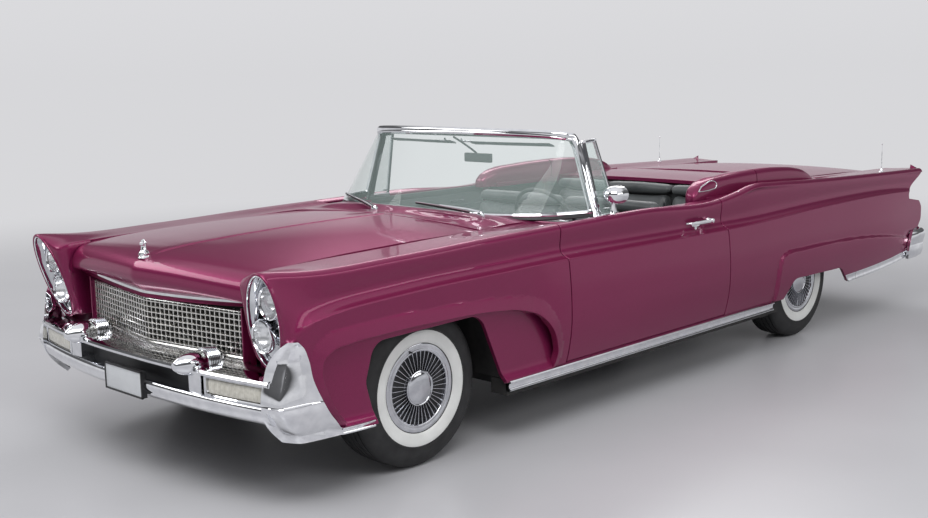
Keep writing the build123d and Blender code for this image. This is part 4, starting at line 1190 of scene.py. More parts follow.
def lid_inners():
    surface, total = hood_surface()
    back, front = 0.035, total - 0.20
    ribs = rib_frame(0.50, (back + 0.05, front - 0.06))
    ribs += [[(s * 0.46, back + 0.08), (0.0, 0.62), (s * 0.46, front - 0.10)] for s in (-1, 1)]
    inner_panel("hood_inner_panel", surface, np.linspace(-0.580, 0.580, 64), np.linspace(back, front, 76),
                "hood_body", ribs)
    ribs = rib_frame(0.50, (1.70, 2.52)) + [[(s * 0.17, 1.70), (s * 0.17, 2.52)] for s in (-1, 1)]
    inner_panel("deck_lid_inner_panel", lid_surface(*DECK_SHAPE), np.linspace(-0.570, 0.570, 60),
                np.linspace(1.655, 2.590, 54), "deck_lid_body", ribs)
    ribs = rib_frame(0.64, (1.02, 1.52)) + [[(-0.64, 1.27), (0.64, 1.27)]]
    inner_panel("stowage_lid_inner_panel", lid_surface(*STOWAGE_SHAPE), np.linspace(-0.712, 0.712, 72),
                np.linspace(0.968, 1.574, 36), "stowage_lid_body", ribs)


lid_inners()


# ---------------------------------------------------------------- grille
GRILLE_HALF, GRILLE_LOW, GRILLE_HIGH = 0.596, 0.580, 0.768
GRILLE_ROWS, GRILLE_PITCH = 8, 0.0283
GRILLE_NOSE_Y, GRILLE_SWEEP, GRILLE_SOFT = -2.757, 0.085 / 0.588, 0.012
BLADE = ((-0.011, -0.0030), (-0.011, 0.0030), (0.008, 0.0036), (0.0112, 0.0018), (0.0112, -0.0018),
         (0.008, -0.0036))
GRILLE_EDGE = ((-0.013, -0.004), (-0.013, 0.004), (0.010, 0.004), (0.013, 0), (0.010, -0.004))


def grille_y(x):
    """The grille is a shallow V in plan, softened at the centre line."""
    return GRILLE_NOSE_Y + GRILLE_SWEEP * (np.sqrt(np.asarray(x, float) ** 2 + GRILLE_SOFT**2) - GRILLE_SOFT)


def grille_line(over, z, back=0.012):
    """A level line across the grille, past its sides by over."""
    xs = np.linspace(-GRILLE_HALF - over, GRILLE_HALF + over, 61)
    return np.stack([xs, grille_y(xs) + back, np.full(len(xs), z)], axis=1)


def level_blades():
    heights = np.linspace(GRILLE_LOW + 0.010, GRILLE_HIGH - 0.010, GRILLE_ROWS)
    return [sweep(grille_line(0, z), BLADE) for z in heights]


def upright(x, y, half, depth, bevel):
    return box_mesh(x - half, x + half, y, y + depth, GRILLE_LOW, GRILLE_HIGH, bevel)


def upright_blades():
    count = int(GRILLE_HALF / GRILLE_PITCH)
    xs = GRILLE_PITCH * np.arange(-count, count + 1)
    return [upright(x, float(grille_y(x)) + 0.003, 0.0029, 0.023, 0.0008) for x in xs]


def grille():
    piece("grille_level_blades", level_blades(), CHAMPAGNE, replaces=("grille",))
    piece("grille_upright_blades", upright_blades(), CHAMPAGNE)
    ends = GRILLE_LOW - 0.002, GRILLE_HIGH + 0.003
    frame_parts = [sweep(grille_line(0.004, z), GRILLE_EDGE) for z in ends]
    beside, side_y = GRILLE_HALF + 0.003, float(grille_y(GRILLE_HALF))
    frame_parts += [upright(x, side_y, 0.004, 0.026, 0.001) for x in (-beside, beside)]
    piece("grille_frame", frame_parts, CHAMPAGNE)
    # A black sheet behind the blades, reaching up under the hood's lip: painted shade for the dark gap and
    # the space behind the grille.
    rings = []
    for z in (0.552, 0.812):
        front = grille_line(0.004, z, 0.040)
        rings.append(np.concatenate([front, front[::-1] + (0, 0.004, 0)]))
    piece("grille_painted_shade_backing", solid(rings), BLACK)


# ---------------------------------------------------------------- front bumper
BAR_PLAN = ((0.0, -2.868), (0.20, -2.866), (0.45, -2.852), (0.70, -2.822), (0.905, -2.786))
UPPER_BAR = ((-0.085, 0.559), (-0.006, 0.558), (0.006, 0.555), (0.012, 0.547), (0.010, 0.536),
             (-0.002, 0.529), (-0.020, 0.528), (-0.060, 0.530), (-0.085, 0.535))
LOWER_BAR = ((-0.070, 0.456), (-0.010, 0.455), (0.005, 0.451), (0.013, 0.441), (0.014, 0.424), (0.006, 0.400),
             (-0.010, 0.380), (-0.034, 0.368), (-0.060, 0.364), (-0.064, 0.372), (-0.030, 0.386),
             (-0.012, 0.410), (-0.016, 0.436), (-0.070, 0.444))
GUARD_X, GUARD_Z = 0.448, 0.568
# Guard profiles (radius, distance back from the tip)
GUARD_NOSE = ((THIN, 0), (0.010, 0), (0.0165, -0.003), (0.020, -0.008), (0.030, -0.022), (0.040, -0.044),
              (0.0475, -0.070), (0.0515, -0.098), (0.0520, -0.120), (0.0500, -0.136))
GUARD_RIB = ((0.0510, 0), (0.0590, -0.0012), (0.0602, -0.0032), (0.0590, -0.0052), (0.0510, -0.0066))
GUARD_RIBS, GUARD_RIB_PITCH = 7, 0.0080
GUARD_STEM = ((0.054, -0.196), (0.052, -0.206), (0.044, -0.216), (0.028, -0.222), (THIN, -0.224))
LENS_SPAN = (0.556, 0.868)      # the parking lamp's lens, from x to x


def bar_path(half=0.905, step=0.02, back=0.0):
    both_halves = to_both_sides(BAR_PLAN, step)
    both_halves = both_halves[np.abs(both_halves[:, 0]) <= half + 1e-6]
    return np.stack([both_halves[:, 0], both_halves[:, 1] + back, np.zeros(len(both_halves))], axis=1)


def bar_shape(section, path):
    """A section of (outwards, z) points carried along the bar's plan line."""
    return solid([[p + o * out + (0, 0, z) for o, z in section] for p, out in zip(path, outwards(path))])


def outwards(path):
    tangent = unit(np.gradient(path, axis=0))
    return np.stack([tangent[:, 1], -tangent[:, 0], 0 * tangent[:, 0]], axis=1)


def to_both_sides(plan, step):
    right = curve(plan, step)
    return np.concatenate([right[:0:-1] * (-1, 1), right])


WING_ROWS = (
    # z, then front edge, corner and rear edge as (x, y)
    (0.708, (0.958, -2.728), (0.974, -2.716), (0.986, -2.700)),
    (0.690, (0.940, -2.748), (0.976, -2.728), (0.992, -2.684)),
    (0.640, (0.904, -2.776), (0.978, -2.752), (0.998, -2.664)),
    (0.552, (0.886, -2.800), (0.982, -2.784), (1.001, -2.645)),
    (0.470, (0.882, -2.812), (0.986, -2.802), (1.003, -2.608)),
    (0.400, (0.880, -2.800), (0.986, -2.784), (1.000, -2.566)),
    (0.345, (0.874, -2.762), (0.972, -2.748), (0.990, -2.520)),
    (0.290, (0.866, -2.706), (0.944, -2.672), (0.968, -2.476)),
)
WING_CREASE_Z = 0.458
WING_COLUMNS, CORNER_WEIGHT, WING_THICK = 33, 5.0, 0.020
WING_HEIGHTS = np.concatenate([np.linspace(0.290, 0.440, 16), np.linspace(0.446, 0.470, 9),
                               np.linspace(0.478, 0.69, 22), (0.697, 0.703, 0.708)])


def wing_surface(table, heights):
    """Outer face of a bumper end as rows of points: curves drawn towards the corner by its weight."""
    rows = [(z, *f, *c, *r) for z, f, c, r in table][::-1]
    s = np.linspace(0, 1, WING_COLUMNS)[:, None]
    corner_share = 2 * CORNER_WEIGHT * s * (1 - s)
    face = []
    for z in heights:
        f, c, r = row_at(rows, z).reshape(3, 2)
        p = ((1 - s) ** 2 * f + corner_share * c + s**2 * r) / ((1 - s) ** 2 + corner_share + s**2)
        face.append(np.column_stack([p, np.full(WING_COLUMNS, z)]))
    return np.array(face)


def bumper_wing(table=WING_ROWS, heights=WING_HEIGHTS, crease_z=WING_CREASE_Z, facing=1, leaf=0.030):
    """A bumper end with a raised border and a crease; facing is -1 where its rows run inwards."""
    face = wing_surface(table, heights)
    du, dv = np.gradient(face, axis=1), np.gradient(face, axis=0)
    normal = unit(np.cross(du, dv)) * facing
    along = np.array([distance_along(row) for row in face])
    to_edge = np.minimum(along, along[:, -1:] - along)
    to_tip, to_foot = (heights[-1] - heights)[:, None], (heights - heights[0])[:, None]
    to_crease = np.abs(heights - crease_z)[:, None]
    border = np.minimum(np.minimum(to_edge, to_tip), to_foot)
    above = np.clip((heights - crease_z) / (heights[-1] - crease_z), 0, 1)[:, None]
    below = np.clip((crease_z - heights) / (crease_z - heights[0]), 0, 1)[:, None]
    lean = leaf * smooth(above / 0.80) * (1 - 0.55 * smooth((above - 0.66) / 0.28))
    lean = lean + 0.45 * leaf * smooth(below / 0.55)
    dish = (0.006 + lean) * smooth(border / 0.022) * smooth(to_crease / 0.010 + 0.25)
    outer = face - normal * dish[..., None]
    inner = face - normal * (WING_THICK + dish)[..., None]
    made = solid([np.concatenate([a, b[::-1]]) for a, b in zip(outer, inner)])
    return made if facing > 0 else turned(made)


def guard():
    """Bullet guard: a coned nose, a ribbed collar and a rounded stem behind."""
    profile = list(GUARD_NOSE)
    for k in range(GUARD_RIBS):
        at = -0.138 - GUARD_RIB_PITCH * k
        profile += [(radius, at + along) for radius, along in GUARD_RIB]
    return spun(profile + list(GUARD_STEM), (GUARD_X, -2.9180, GUARD_Z), (0, -1, 0.05), 48)


def splash_pan():
    """Pressed pan between the upper bar and the foot of the grille, and out past the nacelles."""
    rings = []
    for x, y, _ in bar_path(0.90, 0.03, 0.080):
        back, rise = -2.690, 0.566
        if abs(x) < 0.62:
            foot = min(float(grille_y(min(abs(x), 0.60))) + 0.020, -2.64)
            back, rise = max(foot, -2.745), 0.578
        rings.append([(x, y, 0.556), (x, y + 0.012, 0.559), (x, back - 0.012, rise - 0.003), (x, back, rise),
                      (x, back + 0.006, rise - 0.020), (x, y, 0.544)])
    return solid(rings)


def lens_box(x0, x1):
    """Parking lamp lens that follows the bar, with upright ribs."""
    path = np.array([p for p in bar_path(0.905, 0.004) if x0 <= p[0] <= x1])
    rings = []
    for i, (p, out) in enumerate(zip(path, outwards(path))):
        near_end = min(i, len(path) - 1 - i)
        swell = 0.010 * smooth(near_end / 4.0) + 0.0016 * abs(math.sin(i * PI / 3)) - 0.012
        rings.append([p + out * o + (0, 0, z) for o, z in (
            (-0.045, 0.462), (swell - 0.010, 0.461), (swell - 0.003, 0.466), (swell, 0.478), (swell, 0.508),
            (swell - 0.003, 0.520), (swell - 0.010, 0.525), (-0.045, 0.524))])
    return solid(rings)


def lens_bezel(x0, x1):
    """Bright surround of the parking lamp."""
    path = np.array([p for p in bar_path(0.905, 0.01) if x0 - 0.016 <= p[0] <= x1 + 0.016])
    parts = []
    for z0, z1 in ((0.452, 0.461), (0.525, 0.533)):
        parts.append(bar_shape([(-0.05, z0), (-0.002, z0), (0.003, (z0 + z1) / 2), (-0.002, z1), (-0.05, z1)],
                               path))
    for x, y, _ in (path[0], path[-1]):
        parts.append(box_mesh(x - 0.008, x + 0.008, y + 0.002, y + 0.06, 0.452, 0.533, 0.002))
    return joined(parts)


def number_plate(y, z0, z1, half):
    """Blank plate that faces the front in a dark frame, as the frame's bars and the plate."""
    thick, bevel = 0.008, 0.001
    bars = ((-half, half, z0, z0 + thick), (-half, half, z1 - thick, z1), (-half, -half + thick, z0, z1),
            (half - thick, half, z0, z1))
    inset = thick - 0.001
    plate = box_mesh(-half + inset, half - inset, y + 0.003, y + 0.005, z0 + inset, z1 - inset, bevel / 2)
    return [box_mesh(x0, x1, y, y + thick, low, high, bevel) for x0, x1, low, high in bars], plate


def front_bumper():
    path = bar_path()
    piece("bumper_upper_bar", bar_shape(UPPER_BAR, path), CHROME, replaces=("front_bumper",))
    piece("bumper_lower_bar", bar_shape(LOWER_BAR, path), CHROME)
    # A black sheet behind and between the bars: painted shade for the dark recess there.
    recess = [(-0.075, 0.440), (-0.070, 0.440), (-0.070, 0.545), (-0.075, 0.545)]
    piece("bumper_recess_painted_shade", bar_shape(recess, path), BLACK)
    piece("splash_pan", splash_pan(), PERFORATED)
    pair("bumper_wing", bumper_wing(), CHROME)
    pair("bumper_guard", [guard(), box_mesh(0.440, 0.528, -2.846, -2.78, 0.446, 0.542, 0.006)], CHROME)
    pair("parking_lens", lens_box(*LENS_SPAN), PARKING)
    pair("parking_bezel", lens_bezel(*LENS_SPAN), CHROME)
    bars, plate = number_plate(-2.893, 0.372, 0.492, 0.152)
    backing = box_mesh(-0.150, 0.150, -2.884, -2.866, 0.374, 0.490, 0.002)
    arms = [box_mesh(x - 0.012, x + 0.012, -2.880, -2.80, 0.40, 0.44, 0.002) for x in (-0.11, 0.11)]
    piece("front_plate_frame", [*bars, backing, *arms], BLACK)
    piece("front_plate", plate, PLATE)


# ---------------------------------------------------------------- wheels
TYRE_RADIUS, BEAD_RADIUS = 0.356, 0.182
COVER_RADIUS = 0.197
WHITE_IN, WHITE_OUT = 0.200, 0.2565
TYRE_SIDES, COVER_SIDES, WHEEL_SIDES = 112, 96, 80
GROOVES = (0.062, 0.032, 0.0, -0.032, -0.062)
GROOVE_DEEP = 0.007
FIN_COUNT = 40
DRUM_RIB = ((0.1385, 0), (0.1420, 0.0012), (0.1420, 0.0036), (0.1385, 0.0048))
# Fin stations: radius, half width, foot and crest
FIN_ROWS = ((0.0785, 0.0016, 0.088, 0.0990), (0.095, 0.0020, 0.086, 0.1000), (0.130, 0.0027, 0.086, 0.1005),
            (0.158, 0.0033, 0.086, 0.1005), (0.1630, 0.0036, 0.088, 0.1000))


def tyre_profile():
    """(radius, across) from the outer bead over the tread to the inner bead, and back inside."""
    half = [(BEAD_RADIUS, 0.080), (0.188, 0.090), (0.196, 0.0985), (0.2005, 0.1035), (0.215, 0.1080),
            (0.236, 0.1108), (0.2562, 0.1120), (0.2585, 0.1135), (0.262, 0.1140), (0.2655, 0.1135),
            (0.268, 0.1118), (0.290, 0.1105), (0.312, 0.1065), (0.328, 0.1005), (0.340, 0.0925),
            (0.3475, 0.0850), (0.3515, 0.0800)]
    tread = []
    for at in GROOVES:
        crown = TYRE_RADIUS - 0.0045 * (at / 0.08) ** 2
        floor_r = crown - GROOVE_DEEP
        tread += [(crown, at + 0.0040), (floor_r, at + 0.0028), (floor_r, at - 0.0028), (crown, at - 0.0040)]
    back = [(r, -a) for r, a in half[::-1]]
    inside = [(0.192, -0.070), (0.25, -0.098), (0.32, -0.090), (0.342, -0.05), (0.342, 0.05), (0.32, 0.090),
              (0.25, 0.098), (0.192, 0.070), (BEAD_RADIUS, 0.080)]
    return half + tread + back + inside


def on_axle(profile, side, y, count):
    """A profile turned about the wheel's axle: (radius, distance outwards from the wheel's middle)."""
    return spun(profile, (side * TRACK_HALF, y, TYRE_RADIUS), (side, 0, 0), count)


def whitewall(side, y):
    profile = [(WHITE_IN, 0.1030), (WHITE_IN + 0.001, 0.1042), (0.215, 0.1090), (0.236, 0.1118),
               (WHITE_OUT - 0.002, 0.1130), (WHITE_OUT, 0.1122), (WHITE_OUT - 0.003, 0.108),
               (WHITE_IN + 0.003, 0.100), (WHITE_IN, 0.1030)]
    return on_axle(profile, side, y, TYRE_SIDES)


def wheel_cover(side, y):
    """Bright full cover: rolled edge, polished ring and a domed centre over a dark annulus."""
    profile = [(0.188, 0.084), (0.1935, 0.092), (COVER_RADIUS, 0.098), (0.1965, 0.1015), (0.193, 0.103),
               (0.187, 0.1035), (0.181, 0.1030), (0.178, 0.1012), (0.1760, 0.1012), (0.173, 0.1030),
               (0.168, 0.1035), (0.1645, 0.1025), (0.1625, 0.1000), (0.1620, 0.0900), (0.1600, 0.0860),
               (0.120, 0.0850), (0.082, 0.0855), (0.0800, 0.088), (0.0795, 0.1000), (0.0780, 0.1040),
               (0.0750, 0.1055), (0.0715, 0.1045), (0.0700, 0.1025), (0.0680, 0.1030), (0.0640, 0.1058),
               (0.045, 0.1098), (0.022, 0.1128), (0.0060, 0.1140), (THIN, 0.1142)]
    return on_axle(profile, side, y, COVER_SIDES)


def cover_annulus(side, y):
    profile = [(0.1618, 0.0872), (0.120, 0.0862), (0.0805, 0.0868)]
    return on_axle(profile, side, y, COVER_SIDES)


def cover_fins(side, y):
    """Bright radial blades, raised over the dark annulus and twisted a little."""
    parts = []
    centre, axis = np.array((side * TRACK_HALF, y, TYRE_RADIUS)), np.array((side, 0, 0))
    for a in (np.arange(FIN_COUNT) + 0.5) * 2 * PI / FIN_COUNT:
        radial, round_ = np.array((0, math.cos(a), math.sin(a))), np.array((0, -math.sin(a), math.cos(a)))
        rings = []
        for radius, half, low, high in FIN_ROWS:
            outline = ((-1, low), (-0.9, high - 0.004), (-0.3, high), (0.5, high), (0.9, high - 0.004),
                       (1, low))
            rings.append([centre + radial * radius + round_ * half * k + axis * out for k, out in outline])
        made = solid(rings)
        parts.append(made if side > 0 else turned(made))
    return joined(parts)


def wheel_rim(side, y):
    """Pressed steel wheel, its hub and the brake drum behind the cover."""
    barrel = on_axle([(0.186, 0.084), (0.182, 0.078), (0.180, 0.060), (0.168, 0.050), (0.168, -0.055),
                      (0.180, -0.066), (0.182, -0.078), (0.188, -0.084), (0.192, -0.080), (0.184, -0.070),
                      (0.172, -0.055), (0.172, 0.050), (0.184, 0.064)], side, y, WHEEL_SIDES)
    disc = on_axle([(0.170, 0.040), (0.150, 0.046), (0.100, 0.052), (0.060, 0.050), (0.030, 0.052),
                    (0.030, 0.046), (0.100, 0.046), (0.150, 0.040), (0.170, 0.034)], side, y, WHEEL_SIDES)
    ribs = [(r, -0.036 + 0.006 * k + at) for k in range(7) for r, at in DRUM_RIB]
    rows = [(0.026, -0.040), (0.130, -0.040), *ribs, (0.136, 0.012), (0.090, 0.020), (0.026, 0.022)]
    drum = on_axle(rows, side, y, WHEEL_SIDES)
    hub = on_axle([(0.0252, -0.040), (0.058, -0.040), (0.058, 0.050), (0.0252, 0.056), (0.0252, -0.040)],
                  side, y, 40)
    valve = tube([(side * (TRACK_HALF + t), y - 0.050, TYRE_RADIUS + 0.168) for t in (0.094, 0.112)], 0.004,
                 10)
    return barrel, [disc, drum, hub], valve


def wheels():
    for axle, y in (("front", FRONT_AXLE_Y), ("rear", REAR_AXLE_Y)):
        for side, label in SIDES:
            tag = f"{axle}_{label}"
            body = f"wheel_{tag}_body"
            piece(f"tyre_tread_{tag}", on_axle(tyre_profile(), side, y, TYRE_SIDES), RUBBER, body,
                  replaces=(f"tyre_{tag}",))
            piece(f"whitewall_{tag}", whitewall(side, y), WHITEWALL, body)
            piece(f"wheel_cover_{tag}", wheel_cover(side, y), COVER_CHROME, body, replaces=(f"wheel_{tag}",))
            piece(f"wheel_annulus_{tag}", cover_annulus(side, y), BLACK, body, "chrome")
            piece(f"wheel_fins_{tag}", cover_fins(side, y), COVER_CHROME, body)
            barrel, inner, valve = wheel_rim(side, y)
            piece(f"wheel_rim_{tag}", barrel, BLACK, body, "steel")
            piece(f"wheel_drum_{tag}", inner, IRON, body)
            piece(f"wheel_valve_{tag}", valve, RUBBER, body)


grille()
front_bumper()
wheels()


# ---------------------------------------------------------------- windshield
GLASS_KNOTS = np.linspace(0, 1, len(GLASS_BASE))
GLASS_WIDE, GLASS_TALL = 1.80, 0.44     # scale of the glass's own lengthways and upward measures
GLASS_BULGE = 0.010
HEADER_ARCH = 0.030            # the header rises this much from the pillars to the centre


def glass_surface(u, v):
    """The wrap-round glass: u runs across from the right pillar to the left, v up."""
    s, t = np.asarray(u, float) / GLASS_WIDE, np.asarray(v, float) / GLASS_TALL
    foot, head = (np.stack([hermite(GLASS_KNOTS, line[:, k], s) for k in (0, 1)], axis=-1)
                  for line in (GLASS_BASE, GLASS_HEAD))
    plan = foot + (head - foot) * t[..., None]
    out = unit(np.stack([plan[..., 0], (plan[..., 1] + 0.45) * 0.8], axis=-1))
    plan = plan + out * (GLASS_BULGE * np.sin(np.clip(t, 0, 1) * PI))[..., None]
    arch = HEADER_ARCH * (1 - (2 * s - 1) ** 2) - 0.006
    return np.concatenate([plan, (GLASS_FOOT_Z + (GLASS_TOP_Z + arch - GLASS_FOOT_Z) * t)[..., None]],
                          axis=-1)


def glass_edge(inset, foot):
    """Outline of the glass: up one pillar, round the corners, along the header and down."""
    near, far, top = inset, GLASS_WIDE - inset, GLASS_TALL - inset
    return rounded([(far, foot), (far, top), (near, top), (near, foot)], 0.100)


def on_glass(path, section):
    """A section of (across, outwards) points carried along a path on the glass."""
    path, section = np.asarray(path, float), np.asarray(section, float)
    points = glass_surface(path[:, 0], path[:, 1])
    normal = surface_normals(glass_surface, path[:, 0], path[:, 1])
    normal = normal * np.sign(np.sum(normal * (points - (0, 0.3, 1.1)), axis=1, keepdims=True))
    across = np.cross(normal, unit(np.gradient(points, axis=0)))
    return solid([p + section[:, :1] * a + section[:, 1:] * n for p, a, n in zip(points, across, normal)])


HEADER = ((-0.022, -0.012), (-0.024, 0.002), (-0.018, 0.009), (-0.010, 0.010), (-0.006, 0.014),
          (0.004, 0.017), (0.016, 0.013), (0.021, 0.000), (0.019, -0.014), (0.006, -0.020), (-0.008, -0.019))
HEADER_LINER = ((-0.017, -0.014), (-0.017, -0.022), (0.016, -0.024), (0.016, -0.014))


def windshield():
    edge = glass_edge(0.0, 0.0)
    outline = glass_edge(0.004, 0.004)
    us, vs = np.arange(0.02, GLASS_WIDE, 0.022), np.arange(0.02, GLASS_TALL, 0.03)
    sill = straight([tuple(outline[-1]), tuple(outline[0])], 0.015)
    pane = panel(np.concatenate([outline[:-1], sill[:-1]]), glass_surface, us, vs, 0.001)
    piece("windshield_pane", pane, GLASS, replaces=("windshield_glass",))
    piece("windshield_header", on_glass(edge[::-1], HEADER), CHROME, replaces=("windshield_frame",))
    piece("windshield_liner", on_glass(edge[::-1], HEADER_LINER), BLACK)
    foot = np.array([(u, 0.002) for u in np.linspace(0.012, GLASS_WIDE - 0.012, 120)])
    moulding = ((-0.010, -0.010), (0.012, -0.010), (0.012, 0.002), (0.006, 0.007), (-0.004, 0.007),
                (-0.010, 0.002))
    piece("windshield_moulding", on_glass(foot, moulding), CHROME)
    seal = ((-0.016, -0.012), (0.004, -0.012), (0.004, 0.002), (-0.016, 0.004))
    piece("windshield_seal", on_glass(foot - (0, 0.008), seal), BLACK)


# Posts behind the ends of the glass: foot and head as (x, y), half width and half depth
POSTS = (((0.858, -0.718), (0.732, -0.712), 0.013, 0.018), ((0.846, -0.716), (0.722, -0.706), 0.008, 0.026))
POST_SECTION = ((-1, -0.8), (-0.8, -1), (0.6, -1), (1, -0.5), (1, 0.5), (0.6, 1), (-0.8, 1), (-1, 0.8))


def pillar_posts():
    """Bright posts from the cowl's corners to the header."""
    parts = []
    for (x0, y0), (x1, y1), wide, deep in POSTS:
        stations = ((x0 + 0.006, y0, 0.962, 1.25), (x0, y0, 1.000, 1.0), (x1, y1, 1.352, 0.9),
                    (x1 - 0.012, y1, 1.378, 0.6))
        parts.append(solid([[(x + dx * wide * k, y + dy * deep * k, z) for dx, dy in POST_SECTION]
                            for x, y, z, k in stations]))
    pair("pillar_post", parts, CHROME)


# Vent window: the corners of its frame as (x, y, z), front foot, front head, rear head, rear foot
VENT = ((0.872, -0.690, 0.968), (0.762, -0.682, 1.345), (0.762, -0.596, 1.350), (0.872, -0.552, 0.968))


def vent_windows():
    """Framed quarter lights on the doors; box sizes are from a corner of the frame."""
    front_foot, front_head, rear_head, rear_foot = (np.array(p) for p in VENT)
    parts = []
    for a, b, thick in ((front_foot, front_head, 0.0085), (front_head, rear_head, 0.0075),
                        (rear_head, rear_foot, 0.0085)):
        run = [a + (b - a) * k for k in (0, 0.5, 1)]
        section = [(-thick, -0.006), (-thick, 0.005), (-0.004, 0.009), (0.004, 0.009), (thick, 0.005),
                   (thick, -0.006)]
        parts.append(sweep(run, section, up=(1, 0.0, 0.3)))
    for x, y, z in (front_head, rear_head):
        parts.append(box_mesh(x - 0.008, x + 0.010, y - 0.009, y + 0.009, z - 0.008, z + 0.009, 0.004))
    x = (front_foot[0] + rear_foot[0]) / 2
    parts.append(box_mesh(x - 0.012, x + 0.012, front_foot[1] - 0.006, rear_foot[1] + 0.012, 0.962, 0.984,
                          0.004))
    parts.append(tube([rear_foot + (-0.012, -0.012, 0.030), rear_foot + (-0.030, -0.016, 0.034),
                       rear_foot + (-0.032, -0.060, 0.038)], 0.004, 8))
    insets = ((0, 0.006, 0.004), (0, 0.006, -0.004), (0, -0.006, -0.004), (0, -0.008, 0.004))
    ring = np.array(VENT) + insets
    pair("vent_frame", parts, CHROME, "door_{}_body", "vent_window")
    pair("vent_pane", solid([ring, ring + (0.005, 0, 0.0015)]), GLASS, "door_{}_body")


MIRROR_CENTRE, MIRROR_AXIS, MIRROR_SQUASH = (0.918, -0.640, 1.082), (0.10, -1, 0.06), 0.80
# The mirror's shell (radius, distance ahead of its centre), stem, foot and glass
MIRROR_SHELL = ((THIN, 0.046), (0.018, 0.044), (0.036, 0.036), (0.050, 0.020), (0.0565, 0), (0.0585, -0.020),
                (0.0590, -0.042), (0.0600, -0.050), (0.0570, -0.054), (0.0540, -0.051))
MIRROR_STEM = ((0.915, -0.642, 0.970), (0.914, -0.640, 1.000), (0.917, -0.638, 1.040), (0.920, -0.640, 1.075))
MIRROR_FOOT = ((0.0285, -0.004), (0.029, 0.002), (0.025, 0.008), (0.016, 0.014), (0.012, 0.030))
MIRROR_GLASS = ((0.0560, -0.0515), (0.03, -0.0520), (THIN, -0.0522))


def squashed_mirror(profile):
    verts, faces = spun(profile, MIRROR_CENTRE, MIRROR_AXIS, 56)
    return verts * (1, 1, MIRROR_SQUASH) + (0, 0, MIRROR_CENTRE[2] * (1 - MIRROR_SQUASH)), faces


def mirror_on_door():
    """Round-backed door mirror on a tapered stem."""
    line = curve(MIRROR_STEM, 0.008)
    taper = np.interp(np.linspace(0, 1, len(line)), (0, 0.25, 0.6, 1), (2.0, 1.15, 0.85, 1.0))
    stem = tube(line, 0.010, 20, up=Y_AXIS, scale=taper, squash=1.2)
    foot = spun(MIRROR_FOOT, (0.914, -0.642, 0.968), Z_AXIS, 40)
    shell = [squashed_mirror(MIRROR_SHELL), stem, foot]
    piece("door_mirror_shell", shell, CHROME, "door_left_body", replaces=("door_mirror",))
    piece("door_mirror_glass", squashed_mirror(MIRROR_GLASS), REFLECTOR, "door_left_body")


def sun_visor():
    rings = []
    for share in np.linspace(0, 1, 21):
        x = 0.075 + 0.520 * share
        end = min(share, 1 - share)
        wide = (0.052 + 0.075 * math.sqrt(min(1, end / 0.10))) * (1.0 if end > 0.001 else 0.8)
        thick = 0.007 * math.sqrt(min(1, 0.2 + end / 0.05))
        middle = -0.842 + 0.045 * max(0, x - 0.25) / 0.35 + 0.068
        ring = []
        for c, s in circle(1, 20):
            forward, lift = math.copysign(abs(c) ** 0.6, c), math.copysign(abs(s) ** 0.8, s)
            ring.append((x, middle + wide / 2 * forward, 1.338 - 0.020 * (c + 1) / 2 + thick * lift))
        rings.append(ring)
    return turned(solid(rings))


def visors_and_mirror():
    pair("sun_visor", sun_visor(), PLASTIC)
    arm = [(0.062, -0.850, 1.352), (0.065, -0.838, 1.340), (0.12, -0.828, 1.338)]
    pair("visor_arm", tube(arm, 0.005, 10), CHROME)
    line = curve([(0.0, -0.846, 1.362), (0.020, -0.800, 1.330), (0.070, -0.765, 1.285),
                  (0.095, -0.752, 1.262)], 0.01)
    back = box_mesh(0.000, 0.195, -0.766, -0.746, 1.222, 1.272, 0.009)
    piece("inner_mirror", [tube(line, 0.0055), back], PLASTIC)
    piece("inner_mirror_glass", box_mesh(0.006, 0.189, -0.747, -0.744, 1.228, 1.266, 0.001), REFLECTOR)


def wiper(pivot, tip, label):
    """Bright arm from its pivot to the middle of a blade that lies along the glass."""
    pivot, tip = np.array(pivot), np.array(tip)
    near = pivot + (tip - pivot) * 0.16
    centre = pivot + (tip - pivot) * 0.60
    post = spun([(0.017, -0.020), (0.018, 0), (0.015, 0.006), (0.011, 0.012), (THIN, 0.014)], pivot,
                (0, -0.25, 1), 28)
    up = np.array((0, -0.006, 0.012))
    arm_section = [(-0.0055, -0.002), (-0.005, 0.002), (0, 0.004), (0.005, 0.002), (0.0055, -0.002)]
    arm = sweep([pivot + up * 0.9, near + up * 1.3, centre + up], arm_section, scale=(1.5, 1.1, 0.7))
    bridge = sweep([near + (0, 0, 0.004), centre + up * 0.7, tip + (0, 0, 0.004)],
                   [(-0.003, -0.0015), (-0.003, 0.0015), (0.003, 0.0015), (0.003, -0.0015)])
    blade = sweep([near, centre, tip], [(-0.0015, -0.006), (-0.003, 0.003), (0.003, 0.003), (0.0015, -0.006)])
    piece(f"wiper_arm_{label}", [post, arm, bridge], CHROME,
          replaces=("wipers",) if label == "left" else ())
    piece(f"wiper_blade_{label}", blade, RUBBER)


windshield()
pillar_posts()
vent_windows()
mirror_on_door()
visors_and_mirror()
wiper((0.545, -1.218, 1.018), (0.090, -1.222, 1.046), "left")
wiper((-0.145, -1.300, 1.010), (-0.590, -1.118, 1.046), "right")


# ---------------------------------------------------------------- cushions
SWELL_FRAMES = 20
VOXEL = 0.013
PRESSURE = 4.0
SEAM_DEPTH, SEAM_WIDE = 0.006, 0.008


